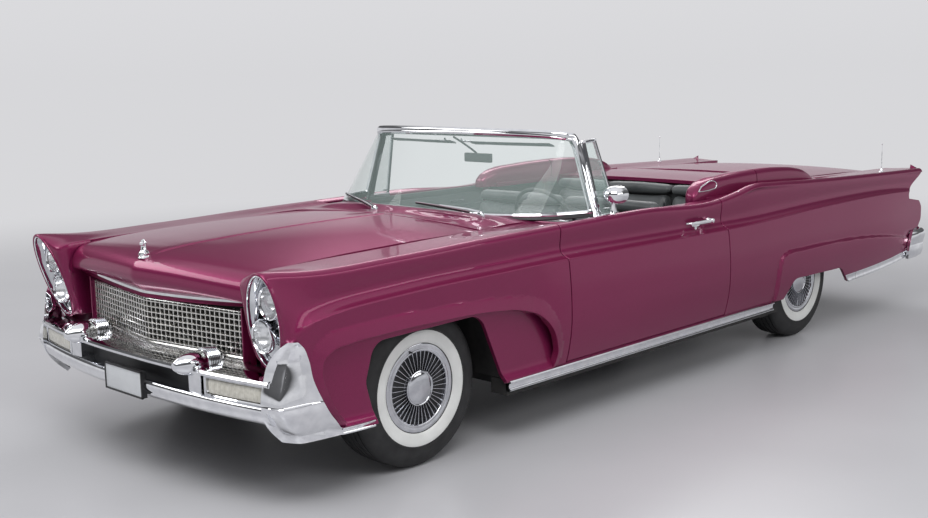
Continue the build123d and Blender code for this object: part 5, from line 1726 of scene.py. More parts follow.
def swollen(obj, cap):
    """Fills the pad by a cloth simulation: remeshed, blown up from inside, and held to a largest movement."""
    remesh = obj.modifiers.new("remesh", "REMESH")
    remesh.mode, remesh.voxel_size, remesh.use_smooth_shade = "VOXEL", VOXEL, True
    apply_modifiers(obj)
    start = np.array([tuple(v.co) for v in obj.data.vertices])
    cloth = obj.modifiers.new("cloth", "CLOTH")
    cloth.settings.use_pressure = True
    cloth.settings.uniform_pressure_force = PRESSURE
    cloth.settings.effector_weights.gravity = 0
    cloth.point_cache.frame_start, cloth.point_cache.frame_end = 1, SWELL_FRAMES
    scene = bpy.context.scene
    for frame_number in range(1, SWELL_FRAMES + 1):
        scene.frame_set(frame_number)
    bpy.context.view_layer.update()
    evaluated = obj.evaluated_get(bpy.context.evaluated_depsgraph_get()).data
    end = np.array([tuple(v.co) for v in evaluated.vertices])
    obj.modifiers.remove(cloth)
    scene.frame_set(1)
    move = end - start
    length = np.linalg.norm(move, axis=1, keepdims=True)
    move = move * np.minimum(1, cap / np.maximum(length, 1e-9))
    for vertex, place in zip(obj.data.vertices, start + move):
        vertex.co = place


def apply_modifiers(obj):
    evaluated = obj.evaluated_get(bpy.context.evaluated_depsgraph_get())
    mesh = bpy.data.meshes.new_from_object(evaluated)
    obj.modifiers.clear()
    obj.data = mesh


def subdivide(obj):
    modifier = obj.modifiers.new("subdivide", "SUBSURF")
    modifier.levels = modifier.render_levels = 1
    apply_modifiers(obj)


def sew(obj, seams):
    """Draws the cover in along seams, each a plane given by its axis and place."""
    mesh = obj.data
    points = np.array([tuple(v.co) for v in mesh.vertices])
    normals = np.array([tuple(v.normal) for v in mesh.vertices])
    pull = np.zeros(len(points))
    for axis, at in seams:
        pull = np.maximum(pull, np.exp(-(np.abs(points[:, axis] - at) / SEAM_WIDE) ** 2))
    for vertex, place in zip(mesh.vertices, points - normals * (pull * SEAM_DEPTH)[:, None]):
        vertex.co = place


def cushion(name, outline, x0, x1, radius, cap, seams=(), replaces=()):
    """A stuffed pad from a (y, z) outline between x0 and x1, sewn along seams; one on the left has a twin."""
    middle = (np.array(outline[-1]) + outline[0]) / 2
    section = rounded([middle, *outline, middle], radius, 0.014)[:-1]
    centre = section.mean(axis=0)
    rings = []
    for share in np.linspace(0, 1, 25):
        end = min(share, 1 - share) * (x1 - x0)
        drawn = radius * (1 - math.sqrt(1 - (1 - min(1, end / radius)) ** 2))
        out = section - centre
        shrink = 1 - drawn / np.maximum(np.linalg.norm(out, axis=1, keepdims=True), radius * 1.2)
        rings.append(at_x(x0 + (x1 - x0) * share, centre + out * shrink))
    obj = piece(name, solid(rings), LEATHER, replaces=replaces)
    bm = bmesh.new()
    bm.from_mesh(obj.data)
    bmesh.ops.recalc_face_normals(bm, faces=bm.faces)
    bm.to_mesh(obj.data)
    bm.free()
    swollen(obj, cap)
    subdivide(obj)
    sew(obj, seams)
    obj.data.shade_smooth()
    if name.endswith("left"):
        mesh = obj.data.copy()
        mesh.transform(Matrix.Diagonal((-1, 1, 1, 1)))
        mesh.flip_normals()
        twin = bpy.data.objects.new(name.replace("left", "right"), mesh)
        bpy.context.scene.collection.objects.link(twin)
        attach(twin, "root")


def seats():
    seat_fold, back_fold, roll_fold = 0.034, 0.030, 0.020
    cushion("front_cushion_left", [(-0.590, 0.425), (-0.594, 0.560), (-0.565, 0.590), (-0.300, 0.594),
                                   (-0.085, 0.578), (-0.070, 0.425)], 0.016, 0.680, seat_fold, 0.014,
            [(0, 0.24), (0, 0.46), (1, -0.500)], ("front_seat",))
    cushion("front_back_left", [(-0.050, 0.600), (-0.040, 0.640), (0.046, 0.892), (0.125, 0.892),
                                (0.108, 0.600)], 0.016, 0.676, 0.028, 0.012, [(0, 0.24), (0, 0.46)])
    cushion("front_roll_left", [(0.048, 0.898), (0.052, 0.940), (0.075, 0.960), (0.118, 0.960),
                                (0.132, 0.935), (0.128, 0.898)], 0.016, 0.680, roll_fold, 0.008)
    cushion("rear_cushion_left", [(0.392, 0.430), (0.388, 0.560), (0.420, 0.588), (0.600, 0.585),
                                  (0.752, 0.568), (0.760, 0.430)], 0.012, 0.664, seat_fold, 0.014,
            [(0, 0.25), (1, 0.470)], ("rear_seat",))
    rear_back = [(0.762, 0.590), (0.778, 0.700), (0.822, 0.908), (0.895, 0.908), (0.895, 0.590)]
    cushion("rear_back_left", rear_back, 0.258, 0.664, back_fold, 0.014)
    cushion("rear_back_centre", rear_back, -0.245, 0.245, back_fold, 0.014)
    rear_roll = [(0.818, 0.916), (0.822, 0.952), (0.842, 0.972), (0.890, 0.972), (0.905, 0.950),
                 (0.905, 0.916)]
    cushion("rear_roll_left", rear_roll, 0.256, 0.668, roll_fold, 0.008)
    cushion("rear_roll_centre", rear_roll, -0.247, 0.247, roll_fold, 0.008)
    cushion("rear_rest_left", [(0.425, 0.690), (0.430, 0.742), (0.460, 0.758), (0.740, 0.758),
                               (0.760, 0.690)], 0.684, 0.845, 0.022, 0.007)


def seat_frames():
    back = [(0.112, 0.560), (0.128, 0.700), (0.140, 0.930), (0.148, 0.930), (0.152, 0.700), (0.140, 0.560)]
    sides = [extruded(back, 0.014, 0.684, 3), box_mesh(0.684, 0.856, 0.424, 0.912, 0.300, 0.692, 0.008)]
    shells = [box_mesh(-0.688, 0.688, -0.560, -0.050, 0.380, 0.430, 0.012),
              box_mesh(-0.590, 0.590, -0.530, 0.055, 0.250, 0.385, 0.004),
              box_mesh(-0.672, 0.672, 0.405, 0.905, 0.252, 0.435, 0.010),
              box_mesh(-0.672, 0.672, 0.895, 0.915, 0.430, 0.965, 0.006)]
    for made in sides:
        shells += both(made)
    piece("seat_frames", shells, LEATHER_EDGE)
    rail = tube(straight([(0.690, -0.585, 0.400), (0.690, -0.055, 0.400), (0.690, 0.128, 0.560)], 0.02),
                0.007, 10)
    hinge = spun([(0.026, -0.004), (0.028, 0), (0.022, 0.006), (THIN, 0.008)], (0.690, 0.020, 0.520), X_AXIS,
                 28)
    edge = tube(curve([(0.682, 0.066, 0.660), (0.684, 0.132, 0.800), (0.684, 0.146, 0.900),
                       (0.684, 0.140, 0.955)], 0.01), 0.006, 10)
    pair("seat_trim", [rail, hinge, edge], CHROME)


# ---------------------------------------------------------------- dashboard and steering wheel
DASH = ((-1.060, 0.940), (-1.060, 0.700), (-0.900, 0.682), (-0.824, 0.735), (-0.806, 0.800), (-0.812, 0.872),
        (-0.806, 0.905), (-0.826, 0.940), (-0.900, 0.950))
PANEL_Y = -0.806
DIAL_SWEEP = (-40, 220)         # degrees from the first tick to the last
# Dials: x, z, radius, ticks; knobs: x, z
DIALS = ((0.520, 0.838, 0.040, 13), (0.400, 0.838, 0.040, 13), (0.290, 0.838, 0.030, 7),
         (0.630, 0.838, 0.030, 7), (-0.330, 0.838, 0.034, 12))
KNOBS = ((-0.105, 0.838), (0.105, 0.838), (0.70, 0.838), (0.19, 0.815), (0.19, 0.860), (-0.62, 0.872))


def dial(x, z, radius, ticks):
    """Bezel, face, ticks and needle of a gauge that faces the seats."""
    centre = (x, PANEL_Y, z)
    bezel = spun([(radius + 0.004, -0.010), (radius + 0.005, 0.004), (radius + 0.002, 0.008),
                  (radius - 0.002, 0.006), (radius - 0.003, -0.004)], centre, Y_AXIS, 48)
    face = spun([(radius - 0.002, -0.003), (THIN, -0.003)], centre, Y_AXIS, 48)
    half = radius * 0.018
    corners = ((-half, -0.002), (half, -0.002), (half, -0.0005), (-half, -0.0005))
    marks = []
    for a in np.radians(np.linspace(*DIAL_SWEEP, ticks)):
        c, s = math.cos(a), math.sin(a)
        marks.append(solid([[(x + c * reach + s * across, PANEL_Y + out, z + s * reach - c * across)
                             for across, out in corners] for reach in (radius * 0.70, radius * 0.86)]))
    tip = (x - radius * 0.45, PANEL_Y + 0.0015, z - radius * 0.35)
    marks.append(tube([(x, PANEL_Y + 0.0015, z), tip], 0.0012, 6))
    marks.append(spun([(0.006, -0.002), (0.006, 0.002), (THIN, 0.004)], centre, Y_AXIS, 16))
    return bezel, face, joined(marks)


def dashboard():
    middle = ((DASH[0][0] + DASH[-1][0]) / 2, 0.945)
    section = rounded([middle, *DASH, middle], [0.002, 0.002, 0.05, 0.03, 0.03, 0.02, 0.012, 0.018, 0.03],
                      0.008)[:-1]
    rings = [at_x(x, section - (0.010 * (abs(x) / 0.8) ** 6, 0)) for x in np.linspace(-0.800, 0.800, 41)]
    piece("dashboard_body", solid(rings), PLASTIC, replaces=("dashboard",))

    def level(y, z, section):
        return sweep([(x, y, z) for x in np.linspace(-0.790, 0.790, 60)], section)
    piece("dash_pad", level(-0.838, 0.944, circle(0.024, 20, 0.62)), LEATHER)
    strips = [level(-0.804, z, [(-0.004, -0.003), (-0.004, 0.003), (0.006, 0.002), (0.006, -0.002)])
              for z in (0.792, 0.884)]
    bezels, faces, marks = zip(*(dial(*row) for row in DIALS))
    knobs = [spun([(0.010, -0.006), (0.011, 0.012), (0.009, 0.016), (THIN, 0.017)], (x, -0.802, z), Y_AXIS,
                  24) for x, z in KNOBS]
    button_xs = -0.062 + 0.026 * np.arange(5)
    buttons = [box_mesh(x, x + 0.020, -0.812, -0.798, 0.812, 0.826, 0.002) for x in button_xs]
    piece("dash_bright", [*strips, *bezels, *knobs, *buttons], CHROME)
    radio = box_mesh(-0.085, 0.085, -0.812, -0.8035, 0.804, 0.874, 0.003)
    slot_xs = -0.180 + 0.009 * np.arange(5)
    speaker = [box_mesh(x, x + 0.004, -0.812, -0.801, 0.802, 0.876, 0.0005) for x in slot_xs]
    piece("dash_faces", [*faces, radio, *speaker], BLACK, slot="cabin_plastic")
    piece("dash_marks", [*marks, box_mesh(-0.060, 0.060, -0.805, -0.8025, 0.838, 0.862, 0.001)], IVORY)
    piece("glovebox_lid", box_mesh(-0.70, -0.40, -0.822, -0.812, 0.742, 0.783, 0.004), PLASTIC)


WHEEL_CENTRE = np.array((0.400, -0.545, 0.900))
WHEEL_TILT = math.radians(28)
WHEEL_AXIS = np.array((0, math.cos(WHEEL_TILT), math.sin(WHEEL_TILT)))
WHEEL_UP = np.array((0, -math.sin(WHEEL_TILT), math.cos(WHEEL_TILT)))
WHEEL_SIDE = np.array((1.0, 0, 0))
RIM_RADIUS, HORN_RADIUS, HORN_OUT = 0.203, 0.138, 0.014
ROD = 0.0042                    # radius of the horn ring, its arms and the column's stalks


def on_wheel(across_by, up_by, out_by):
    return WHEEL_CENTRE + WHEEL_SIDE * across_by + WHEEL_UP * up_by + WHEEL_AXIS * out_by


def ring_tube(radius, thick, out_by, a0, a1, count, sides=12, grip=0.0):
    """A tube round the steering wheel's axis from angle a0 to a1, with a ribbed grip if wanted."""
    full = a1 - a0 > 6.28
    rings = []
    for a in np.linspace(a0, a1, count + 1)[:count if full else None]:
        radial = WHEEL_SIDE * math.cos(a) + WHEEL_UP * math.sin(a)
        centre = WHEEL_CENTRE + radial * radius + WHEEL_AXIS * out_by
        t = thick * (1 + grip * abs(math.sin(a * 21)))
        rings.append([centre + radial * c + WHEEL_AXIS * s for c, s in circle(t, sides)])
    return loft(rings + rings[:1]) if full else solid(rings)


def on_column(profile):
    return spun(profile, WHEEL_CENTRE, WHEEL_AXIS, 40)


def steering_wheel():
    body = "steering_wheel_body"
    parts = [ring_tube(RIM_RADIUS, 0.0105, 0.0, 0, 2 * PI, 168, 14, 0.06)]
    spoke = [(-0.014, -0.004), (-0.012, 0.003), (0, 0.006), (0.012, 0.003), (0.014, -0.004), (0, -0.006)]
    stations = ((0.030, 0, 0.004), (0.09, -0.004, 0.002), (0.15, -0.006, 0.0), (0.200, -0.004, 0.0))
    for side in (-1, 1):
        path = [on_wheel(side * r, lift, out) for r, lift, out in stations]
        parts.append(sweep(path, spoke, up=WHEEL_AXIS, scale=(1.25, 1.0, 0.85, 0.8)))
    parts.append(on_column([(0.024, -0.055), (0.030, -0.030), (0.040, -0.012), (0.046, 0.004), (0.044, 0.014),
                            (0.036, 0.020)]))
    piece("steering_rim", parts, PLASTIC, body, replaces=("steering_wheel",))
    parts = [ring_tube(HORN_RADIUS, ROD, HORN_OUT, PI, 2 * PI, 60),
             on_column([(0.036, 0.018), (0.034, 0.026), (0.024, 0.032), (0.010, 0.035), (THIN, 0.0355)])]
    for side in (-1, 1):
        parts.append(tube([on_wheel(side * 0.030, 0, 0.022), on_wheel(side * HORN_RADIUS, 0, HORN_OUT)], ROD,
                          10, WHEEL_AXIS))
    piece("horn_ring", parts, CHROME, body)
    shares = np.linspace(0, 1, 12)
    path = [WHEEL_CENTRE - WHEEL_AXIS * (0.880 - 0.820 * k) for k in shares]
    column = tube(path, 0.024, 28, scale=np.interp(shares, (0, 0.5, 0.8, 1), (0.8, 0.9, 1.0, 1.12)))
    piece("steering_column_skin", column, PLASTIC, replaces=("steering_column",))
    stalks = []
    foot = WHEEL_CENTRE - WHEEL_AXIS * 0.095
    for side, length, drop in ((1, 0.135, -0.010), (-1, 0.120, 0.030)):
        tip = foot + WHEEL_SIDE * side * length + WHEEL_UP * drop
        stalks.append(tube([foot, (foot + tip) / 2, tip], ROD, 10, WHEEL_AXIS))
        stalks.append(spun([(THIN, -0.010), (0.008, -0.006), (0.009, 0.004), (THIN, 0.012)], tip,
                           (side, 0, 0), 16))
    piece("column_stalks", stalks, CHROME)


# ---------------------------------------------------------------- door trims, side trims and carpet
def trim_sheet(y0, y1, z0, z1, x_outer, x_inner, radius=0.03):
    """Flat padded sheet against a side wall, its edge rounded."""
    middle = (y0, (z0 + z1) / 2)
    loop = rounded([middle, (y0, z1), (y1, z1), (y1, z0), (y0, z0), middle], radius)[:-1]
    centre = loop.mean(axis=0)
    stations = ((x_outer, 1.0), (x_inner + 0.004, 1.0), (x_inner + 0.0012, 0.992), (x_inner, 0.982))
    return turned(solid([at_x(x, centre + (loop - centre) * k) for x, k in stations]))


def handle_rod(*path):
    return tube(path, 0.006, 10, X_AXIS)


def door_trims():
    def on_door(name, made, finish):
        pair(name, made, finish, "door_{}_body")
    front, rear = DOOR_FRONT_Y, DOOR_REAR_Y
    inward = (-1, 0, 0)
    on_door("door_shell", box_mesh(0.862, 0.9395, front + 0.014, rear - 0.026, 0.345, 0.948, 0.004), PLASTIC)
    on_door("door_trim", trim_sheet(-1.050, 0.285, 0.640, 0.925, 0.864, 0.852), LEATHER)
    pleat_ys = -0.78 + 0.062 * np.arange(16)
    pleats = [trim_sheet(y, y + 0.058, 0.668, 0.815, 0.856, 0.847, 0.012) for y in pleat_ys]
    on_door("door_pleats", pleats, LEATHER)
    on_door("door_carpet", trim_sheet(-1.050, 0.285, 0.350, 0.625, 0.864, 0.855), CARPET)
    on_door("door_rest", box_mesh(0.800, 0.856, -0.520, -0.080, 0.640, 0.690, 0.016), LEATHER)
    on_door("door_cap", box_mesh(0.852, 0.872, front + 0.022, rear - 0.030, 0.932, 0.962, 0.006),
            LEATHER_EDGE)
    hardware = [box_mesh(0.850, 0.856, -1.045, 0.280, z - 0.004, z + 0.004, 0.0015) for z in (0.632, 0.850)]
    hardware.append(spun([(0.018, 0), (0.019, 0.004), (0.013, 0.009), (THIN, 0.010)], (0.852, -0.66, 0.760),
                         inward, 28))
    hardware.append(handle_rod((0.842, -0.66, 0.760), (0.838, -0.62, 0.757), (0.836, -0.555, 0.754)))
    hardware.append(spun([(0.014, 0), (0.014, 0.008), (THIN, 0.012)], (0.852, -0.360, 0.735), inward, 24))
    hardware.append(handle_rod((0.838, -0.360, 0.735), (0.834, -0.340, 0.700), (0.832, -0.325, 0.672)))
    hardware.append(spun([(0.010, 0), (0.011, 0.014), (THIN, 0.018)], (0.834, -0.324, 0.672), inward, 20))
    hardware += [box_mesh(0.846, 0.852, y, y + 0.036, 0.872, 0.886, 0.002) for y in (-0.030, 0.014, 0.058)]
    on_door("door_hardware", hardware, CHROME)
    pair("quarter_trim", trim_sheet(0.335, 0.905, 0.300, 0.940, 0.862, 0.851), LEATHER)
    pair("kick_panel", trim_sheet(-1.352, -1.100, 0.265, 0.760, 0.800, 0.792), CARPET)


CARPET_HALF, CARPET_LOW, TUNNEL_TOP = 0.848, 0.2495, 0.3745
PEDALS = ((0.33, 0.36), (0.47, 0.37))


def carpet(y0, y1, line):
    line = np.asarray(line, float)
    return along_y(np.concatenate([line + (0, 0.007), line[::-1]]), np.linspace(y0, y1, 6))


def carpets():
    ends = (-CARPET_HALF, CARPET_LOW), (CARPET_HALF, CARPET_LOW)
    tunnel = rounded([ends[0], (-0.160, CARPET_LOW), (-0.146, TUNNEL_TOP), (0.146, TUNNEL_TOP),
                      (0.160, CARPET_LOW), ends[1]], 0.02, 0.02)
    toe = solid([[(x, -1.352, 0.620), (x, -1.180, 0.262), (x, -1.184, 0.252), (x, -1.357, 0.620)]
                 for x in np.linspace(-CARPET_HALF, CARPET_HALF, 5)])
    flat = (ends[0], (0.0, CARPET_LOW), ends[1])
    piece("carpets", [carpet(-1.345, 0.112, tunnel), carpet(0.128, 0.400, flat), toe], CARPET)
    pedals = [box_mesh(x - 0.035, x + 0.035, -1.235, -1.223, z, z + 0.085, 0.004) for x, z in PEDALS]
    pedals.append(box_mesh(0.205, 0.255, -1.250, -1.238, 0.275, 0.400, 0.004))
    arms = [tube([(x, -1.340, z + 0.09), (x, -1.29, z + 0.10), (x, -1.235, z + 0.05)], 0.006, 8, X_AXIS)
            for x, z in PEDALS]
    piece("pedals", pedals + arms, RUBBER, slot="cabin_plastic")


seats()
seat_frames()
dashboard()
steering_wheel()
door_trims()
carpets()


# ---------------------------------------------------------------- rear bumper
REAR_PLAN = ((0.0, 2.9030), (0.30, 2.9025), (0.60, 2.898), (0.80, 2.890), (0.93, 2.878))
REAR_BAR = ((-0.080, 0.500), (-0.014, 0.500), (-0.004, 0.496), (-0.001, 0.486), (-0.008, 0.474),
            (-0.004, 0.466), (0.004, 0.458), (0.005, 0.440), (0.004, 0.422), (-0.004, 0.414), (-0.008, 0.406),
            (-0.003, 0.394), (-0.008, 0.384), (-0.020, 0.380), (-0.080, 0.380), (-0.080, 0.392),
            (-0.022, 0.394), (-0.022, 0.486), (-0.080, 0.488))
REAR_ROWS = (
    (0.535, (1.002, 2.700), (0.998, 2.840), (0.900, 2.862)),
    (0.500, (1.008, 2.665), (1.004, 2.880), (0.880, 2.905)),
    (0.450, (1.010, 2.640), (1.006, 2.892), (0.870, 2.910)),
    (0.400, (1.008, 2.630), (1.002, 2.885), (0.868, 2.905)),
    (0.345, (1.000, 2.640), (0.990, 2.850), (0.868, 2.880)),
)
REAR_HEIGHTS = np.concatenate([np.linspace(0.345, 0.425, 12), np.linspace(0.430, 0.450, 6),
                               np.linspace(0.456, 0.526, 12), (0.531, 0.535)])


def rear_bumper():
    line = to_both_sides(REAR_PLAN, 0.02)[::-1]
    path = np.column_stack([line, np.zeros(len(line))])
    piece("rear_bumper_bar", bar_shape(REAR_BAR, path), CHROME, replaces=("rear_bumper",))
    pair("rear_bumper_end", bumper_wing(REAR_ROWS, REAR_HEIGHTS, 0.440, -1, 0.016), CHROME)
    iron = [box_mesh(0.300, 0.340, 2.716, 2.884, 0.400, 0.460, 0.003)]
    for y in (2.745, 2.775):
        iron.append(spun([(THIN, 0), (0.010, 0), (0.010, 0.007), (THIN, 0.009)], (0.320, y, 0.460), Z_AXIS,
                         6))
    piece("rear_bumper_irons", both(joined(iron)), BLACK)


rear_bumper()


# ---------------------------------------------------------------- tail panel, its grille and lamps
TAIL_BACK_Y, TAIL_BAR_OUT = 2.716, 0.018
TAIL_HALF, TAIL_LAMP_Z, TAIL_LAMP_RADIUS = 0.800, 0.700, 0.058
TAIL_LAMP_XS = (0.430, 0.580, 0.730)
TAIL_TOP, TAIL_LOW = 0.830, 0.584
TAIL_LEVELS, TAIL_UPRIGHTS, TAIL_PITCH = 9, 57, 0.028
SHORTEST_RUN = 0.004            # a stretch of a tail bar shorter than this is left out
TAIL_SKIN_Y = 2.702
TAIL_EDGE_SECTION = ((-0.005, 0.0), (-0.005, 0.016), (0.0, 0.021), (0.005, 0.016), (0.005, 0.0))


def tail_panel():
    """Painted back panel with a bright egg-crate field between the fins."""
    def plate(x0, x1, z0, z1):
        return box_mesh(x0, x1, TAIL_SKIN_Y, TAIL_BACK_Y, z0, z1, 0.003)
    shell = [plate(-CABIN_HALF, CABIN_HALF, 0.380, 0.580), plate(-CABIN_HALF, CABIN_HALF, 0.836, 0.896),
             plate(-HOOD_HALF, HOOD_HALF, 0.890, 0.922), *both(plate(TAIL_HALF, CABIN_HALF, 0.578, 0.838))]
    piece("tail_panel_skin", shell, PAINT, replaces=("tail_panel",))
    # A black sheet behind the egg-crate: painted shade in the cells between the blades.
    back = box_mesh(-TAIL_HALF - 0.002, TAIL_HALF + 0.002, TAIL_SKIN_Y, TAIL_BACK_Y - 0.002, 0.578, 0.838)
    piece("tail_grille_painted_shade_backing", back, BLACK)
    top, low = TAIL_TOP, TAIL_LOW
    front, rear = TAIL_BACK_Y - 0.002, TAIL_BACK_Y + TAIL_BAR_OUT
    clear = TAIL_LAMP_RADIUS + 0.004
    levels, uprights = [], []
    blade = [(-0.0016, 0.0), (-0.0012, rear - front - 0.002), (0, rear - front),
             (0.0012, rear - front - 0.002), (0.0016, 0.0)]
    for k in range(TAIL_LEVELS):
        z = low + 0.010 + (top - low - 0.020) * k / (TAIL_LEVELS - 1)
        for x0, x1 in open_runs(z - TAIL_LAMP_Z, clear):
            rings = [[(x, front + out, z + up) for up, out in blade] for x in (x0, x1)]
            levels.append(solid(rings))
    for k in range(TAIL_UPRIGHTS):
        x = TAIL_PITCH * (k - TAIL_UPRIGHTS // 2)
        near = min(TAIL_LAMP_XS, key=lambda at: abs(abs(x) - at))
        reach = clear**2 - (abs(x) - near) ** 2
        cut = math.sqrt(reach) if reach > 0 else 0.0
        runs = [(low, TAIL_LAMP_Z - cut), (TAIL_LAMP_Z + cut, top)] if cut else [(low, top)]
        for z0, z1 in runs:
            uprights.append(box_mesh(x - 0.0014, x + 0.0014, front, rear - 0.003, z0, z1, 0.0005))
    piece("tail_grille_levels", levels, CHAMPAGNE)
    piece("tail_grille_uprights", uprights, CHAMPAGNE)
    low, top = low - 0.003, top + 0.003
    loop = rounded([(0.0, low), (TAIL_HALF, low), (TAIL_HALF, top), (-TAIL_HALF, top), (-TAIL_HALF, low),
                    (0.0, low)], 0.020)[:-1]
    ahead = unit(np.roll(loop, -1, axis=0) - np.roll(loop, 1, axis=0))
    across = np.stack([ahead[:, 1], -ahead[:, 0]], axis=1)
    rings = [[(p[0] + c[0] * a, front + b, p[1] + c[1] * a) for a, b in TAIL_EDGE_SECTION]
             for p, c in zip(loop, across)]
    piece("tail_grille_frame", loft(rings + rings[:1]), CHROME)


def open_runs(dz, clear):
    """Stretches of a level bar that the round lamps leave free."""
    if abs(dz) >= clear:
        return [(-TAIL_HALF, TAIL_HALF)]
    half = math.sqrt(clear**2 - dz**2)
    stops = [-TAIL_HALF]
    for x in sorted([-x for x in TAIL_LAMP_XS] + list(TAIL_LAMP_XS)):
        stops += [x - half, x + half]
    stops.append(TAIL_HALF)
    return [(a, b) for a, b in zip(stops[::2], stops[1::2]) if b - a > SHORTEST_RUN]


def tail_lamps():
    bezels, domes, cores = [], [], []
    for side in (-1, 1):
        for x in TAIL_LAMP_XS:
            centre = (side * x, TAIL_BACK_Y, TAIL_LAMP_Z)
            bezels.append(spun([(0.052, 0.0), (0.057, 0.002), (0.058, 0.012), (0.0575, 0.046),
                                (0.0555, 0.052), (0.0520, 0.0545), (0.0480, 0.053), (0.0465, 0.049),
                                (0.0465, 0.020)], centre, Y_AXIS, 64))
            rows = [(0.0466, 0.030)]
            for k in range(5):
                radius = 0.0462 - 0.0062 * k
                out = 0.058 + 0.014 * (1 - (radius / 0.0462) ** 2)
                rows += [(radius, out), (radius - 0.0030, out + 0.0022), (radius - 0.0056, out + 0.0018)]
            rows += [(0.0135, 0.0722), (0.0130, 0.070)]
            domes.append(spun(rows, centre, Y_AXIS, 64))
            cores.append(spun([(0.0140, 0.066), (0.0140, 0.0745), (0.0120, 0.0785), (0.0070, 0.0805),
                               (THIN, 0.0812)], centre, Y_AXIS, 40))
    piece("tail_lamp_bezels", bezels, CHROME, replaces=("tail_lamps",))
    piece("tail_lamp_lenses", domes, RED)
    piece("tail_lamp_centres", cores, CHROME)


tail_panel()
tail_lamps()


# ---------------------------------------------------------------- antennas
ANTENNA_FOOT = ((THIN, -0.004), (0.019, -0.004), (0.019, 0.001), (0.0165, 0.004), (0.0125, 0.006),
                (0.0085, 0.012), (0.0075, 0.020), (0.0060, 0.024), (0.0030, 0.026), (THIN, 0.026))
ANTENNA_MAST = ((THIN, 0.022), (0.0032, 0.022), (0.0032, 0.072), (0.0024, 0.074), (0.0024, 0.128),
                (0.0017, 0.130), (0.0017, 0.186), (0.0034, 0.188), (0.0038, 0.191), (0.0030, 0.1940),
                (THIN, 0.1950))


def antennas():
    parts = []
    for side in (-1, 1):
        place = (side * 0.915, 2.392, 0.969)
        parts += [spun(ANTENNA_FOOT, place, Z_AXIS, 32), spun(ANTENNA_MAST, place, Z_AXIS, 20)]
    piece("antenna_masts", parts, CHROME, replaces=("antennas",))


antennas()


# ---------------------------------------------------------------- bright side trim
def along_side(ys, ring_at):
    return solid([ring_at(y) for y in ys])


ROCKER = ((0.955, 0.258), (0.972, 0.2555), (0.9800, 0.2580), (0.9835, 0.2635), (0.9800, 0.2690),
          (0.9745, 0.2720), (0.9730, 0.2820), (0.9750, 0.2910), (0.9800, 0.2945), (0.9855, 0.2975),
          (0.9860, 0.3025), (0.9815, 0.3065), (0.955, 0.3070))
# y, z of the rear moulding's top
LOW_EDGE = ((1.730, 0.350), (2.140, 0.366), (2.400, 0.382), (2.662, 0.403))
LOW_SECTION = ((-0.010, 0.002), (0.001, 0.002), (0.0050, -0.0010), (0.0056, -0.0060), (0.0026, -0.0110),
               (0.0006, -0.0210), (0.0012, -0.0330), (0.0040, -0.0400), (0.0056, -0.0440), (0.0036, -0.0500),
               (-0.0040, -0.0520), (-0.0200, -0.0480))


def low_ring(y):
    z = float(row_at(LOW_EDGE, y)[0])
    x = float(side_x(y, z - 0.020)) + 0.0150
    slant = 1.25 * float(smooth((1.86 - y) / 0.13))
    return [(x + out, y - slant * up, z + up) for out, up in LOW_SECTION]


def foot_ring(y):
    """Moulding under the foot of the front fender, ahead of the wheel."""
    share = (y + 2.478) / 0.166
    x = 0.972 - 0.014 * (1 - share) ** 2
    return [(x + out, y, 0.3135 + 0.55 * up) for out, up in LOW_SECTION]


def side_trim():
    pair("rocker_moulding", along_y(ROCKER, np.linspace(-1.500, 0.862, 60)), CHROME)
    strip = [(0.950, 0.300), (0.9680, 0.300), (0.9690, 0.3140), (0.9660, 0.3175), (0.950, 0.3175)]
    pair("rocker_panel", along_y(strip, np.linspace(-1.495, 0.858, 40)), PAINT)
    rear = [along_side(np.linspace(1.736, 1.880, 12), low_ring),
            along_side(np.linspace(1.883, 2.660, 48), low_ring)]
    pair("rear_lower_moulding", rear, CHROME)
    pair("front_lower_moulding", along_side(np.linspace(-2.478, -2.315, 12), foot_ring), CHROME)


HANDLE_Z = 0.871


def door_handle():
    """Pull handle: a level blade on two feet, with a rounded grip plate under it and a lock below."""
    ys = np.linspace(-0.026, 0.196, 34)
    share = (ys + 0.026) / 0.222
    lift = 0.030 * smooth(share / 0.16) * smooth((1 - share) / 0.12) + 0.004
    path = np.array([(float(side_x(y, HANDLE_Z)) + out, y, HANDLE_Z) for y, out in zip(ys, lift)])
    wide = 0.35 + 0.65 * smooth(share / 0.25)
    blade = [(-0.0055, -0.0085), (0.0005, -0.0105), (0.0050, -0.0080), (0.0066, 0.0), (0.0050, 0.0080),
             (0.0005, 0.0105), (-0.0055, 0.0085), (-0.0070, 0.0)]
    rings = [[(p[0] + out * w, p[1], p[2] + up * w) for out, up in blade] for p, w in zip(path, wide)]
    parts = [solid(rings)]
    x = float(side_x(0.182, HANDLE_Z))
    parts.append(spun([(THIN, 0.044), (0.009, 0.044), (0.0115, 0.0425), (0.0125, 0.039), (0.0125, 0.020),
                       (0.0165, 0.012), (0.0180, 0.004), (0.0180, -0.004)], (x, 0.182, HANDLE_Z), X_AXIS, 40))
    x = float(side_x(0.060, HANDLE_Z - 0.020))
    grip = []
    for k in range(15):
        a = PI * k / 14
        grip.append((0.060 - 0.046 * math.cos(a), HANDLE_Z - 0.006 - 0.020 * math.sin(a) ** 0.7))
    steps = ((-0.004, 1.0), (0.006, 1.0), (0.010, 0.94), (0.012, 0.80), (0.011, 0.60))
    rings = [[(x + out, 0.060 + (y - 0.060) * s, HANDLE_Z - 0.006 + (z - HANDLE_Z + 0.006) * s)
              for y, z in grip] for out, s in steps]
    parts.append(solid(rings))
    x = float(side_x(0.058, 0.8395))
    parts.append(spun([(THIN, 0.0050), (0.0042, 0.0050), (0.0046, 0.0062), (0.0085, 0.0055), (0.0102, 0.0030),
                       (0.0105, -0.004)], (x, 0.058, 0.8395), X_AXIS, 28))
    return joined(parts)


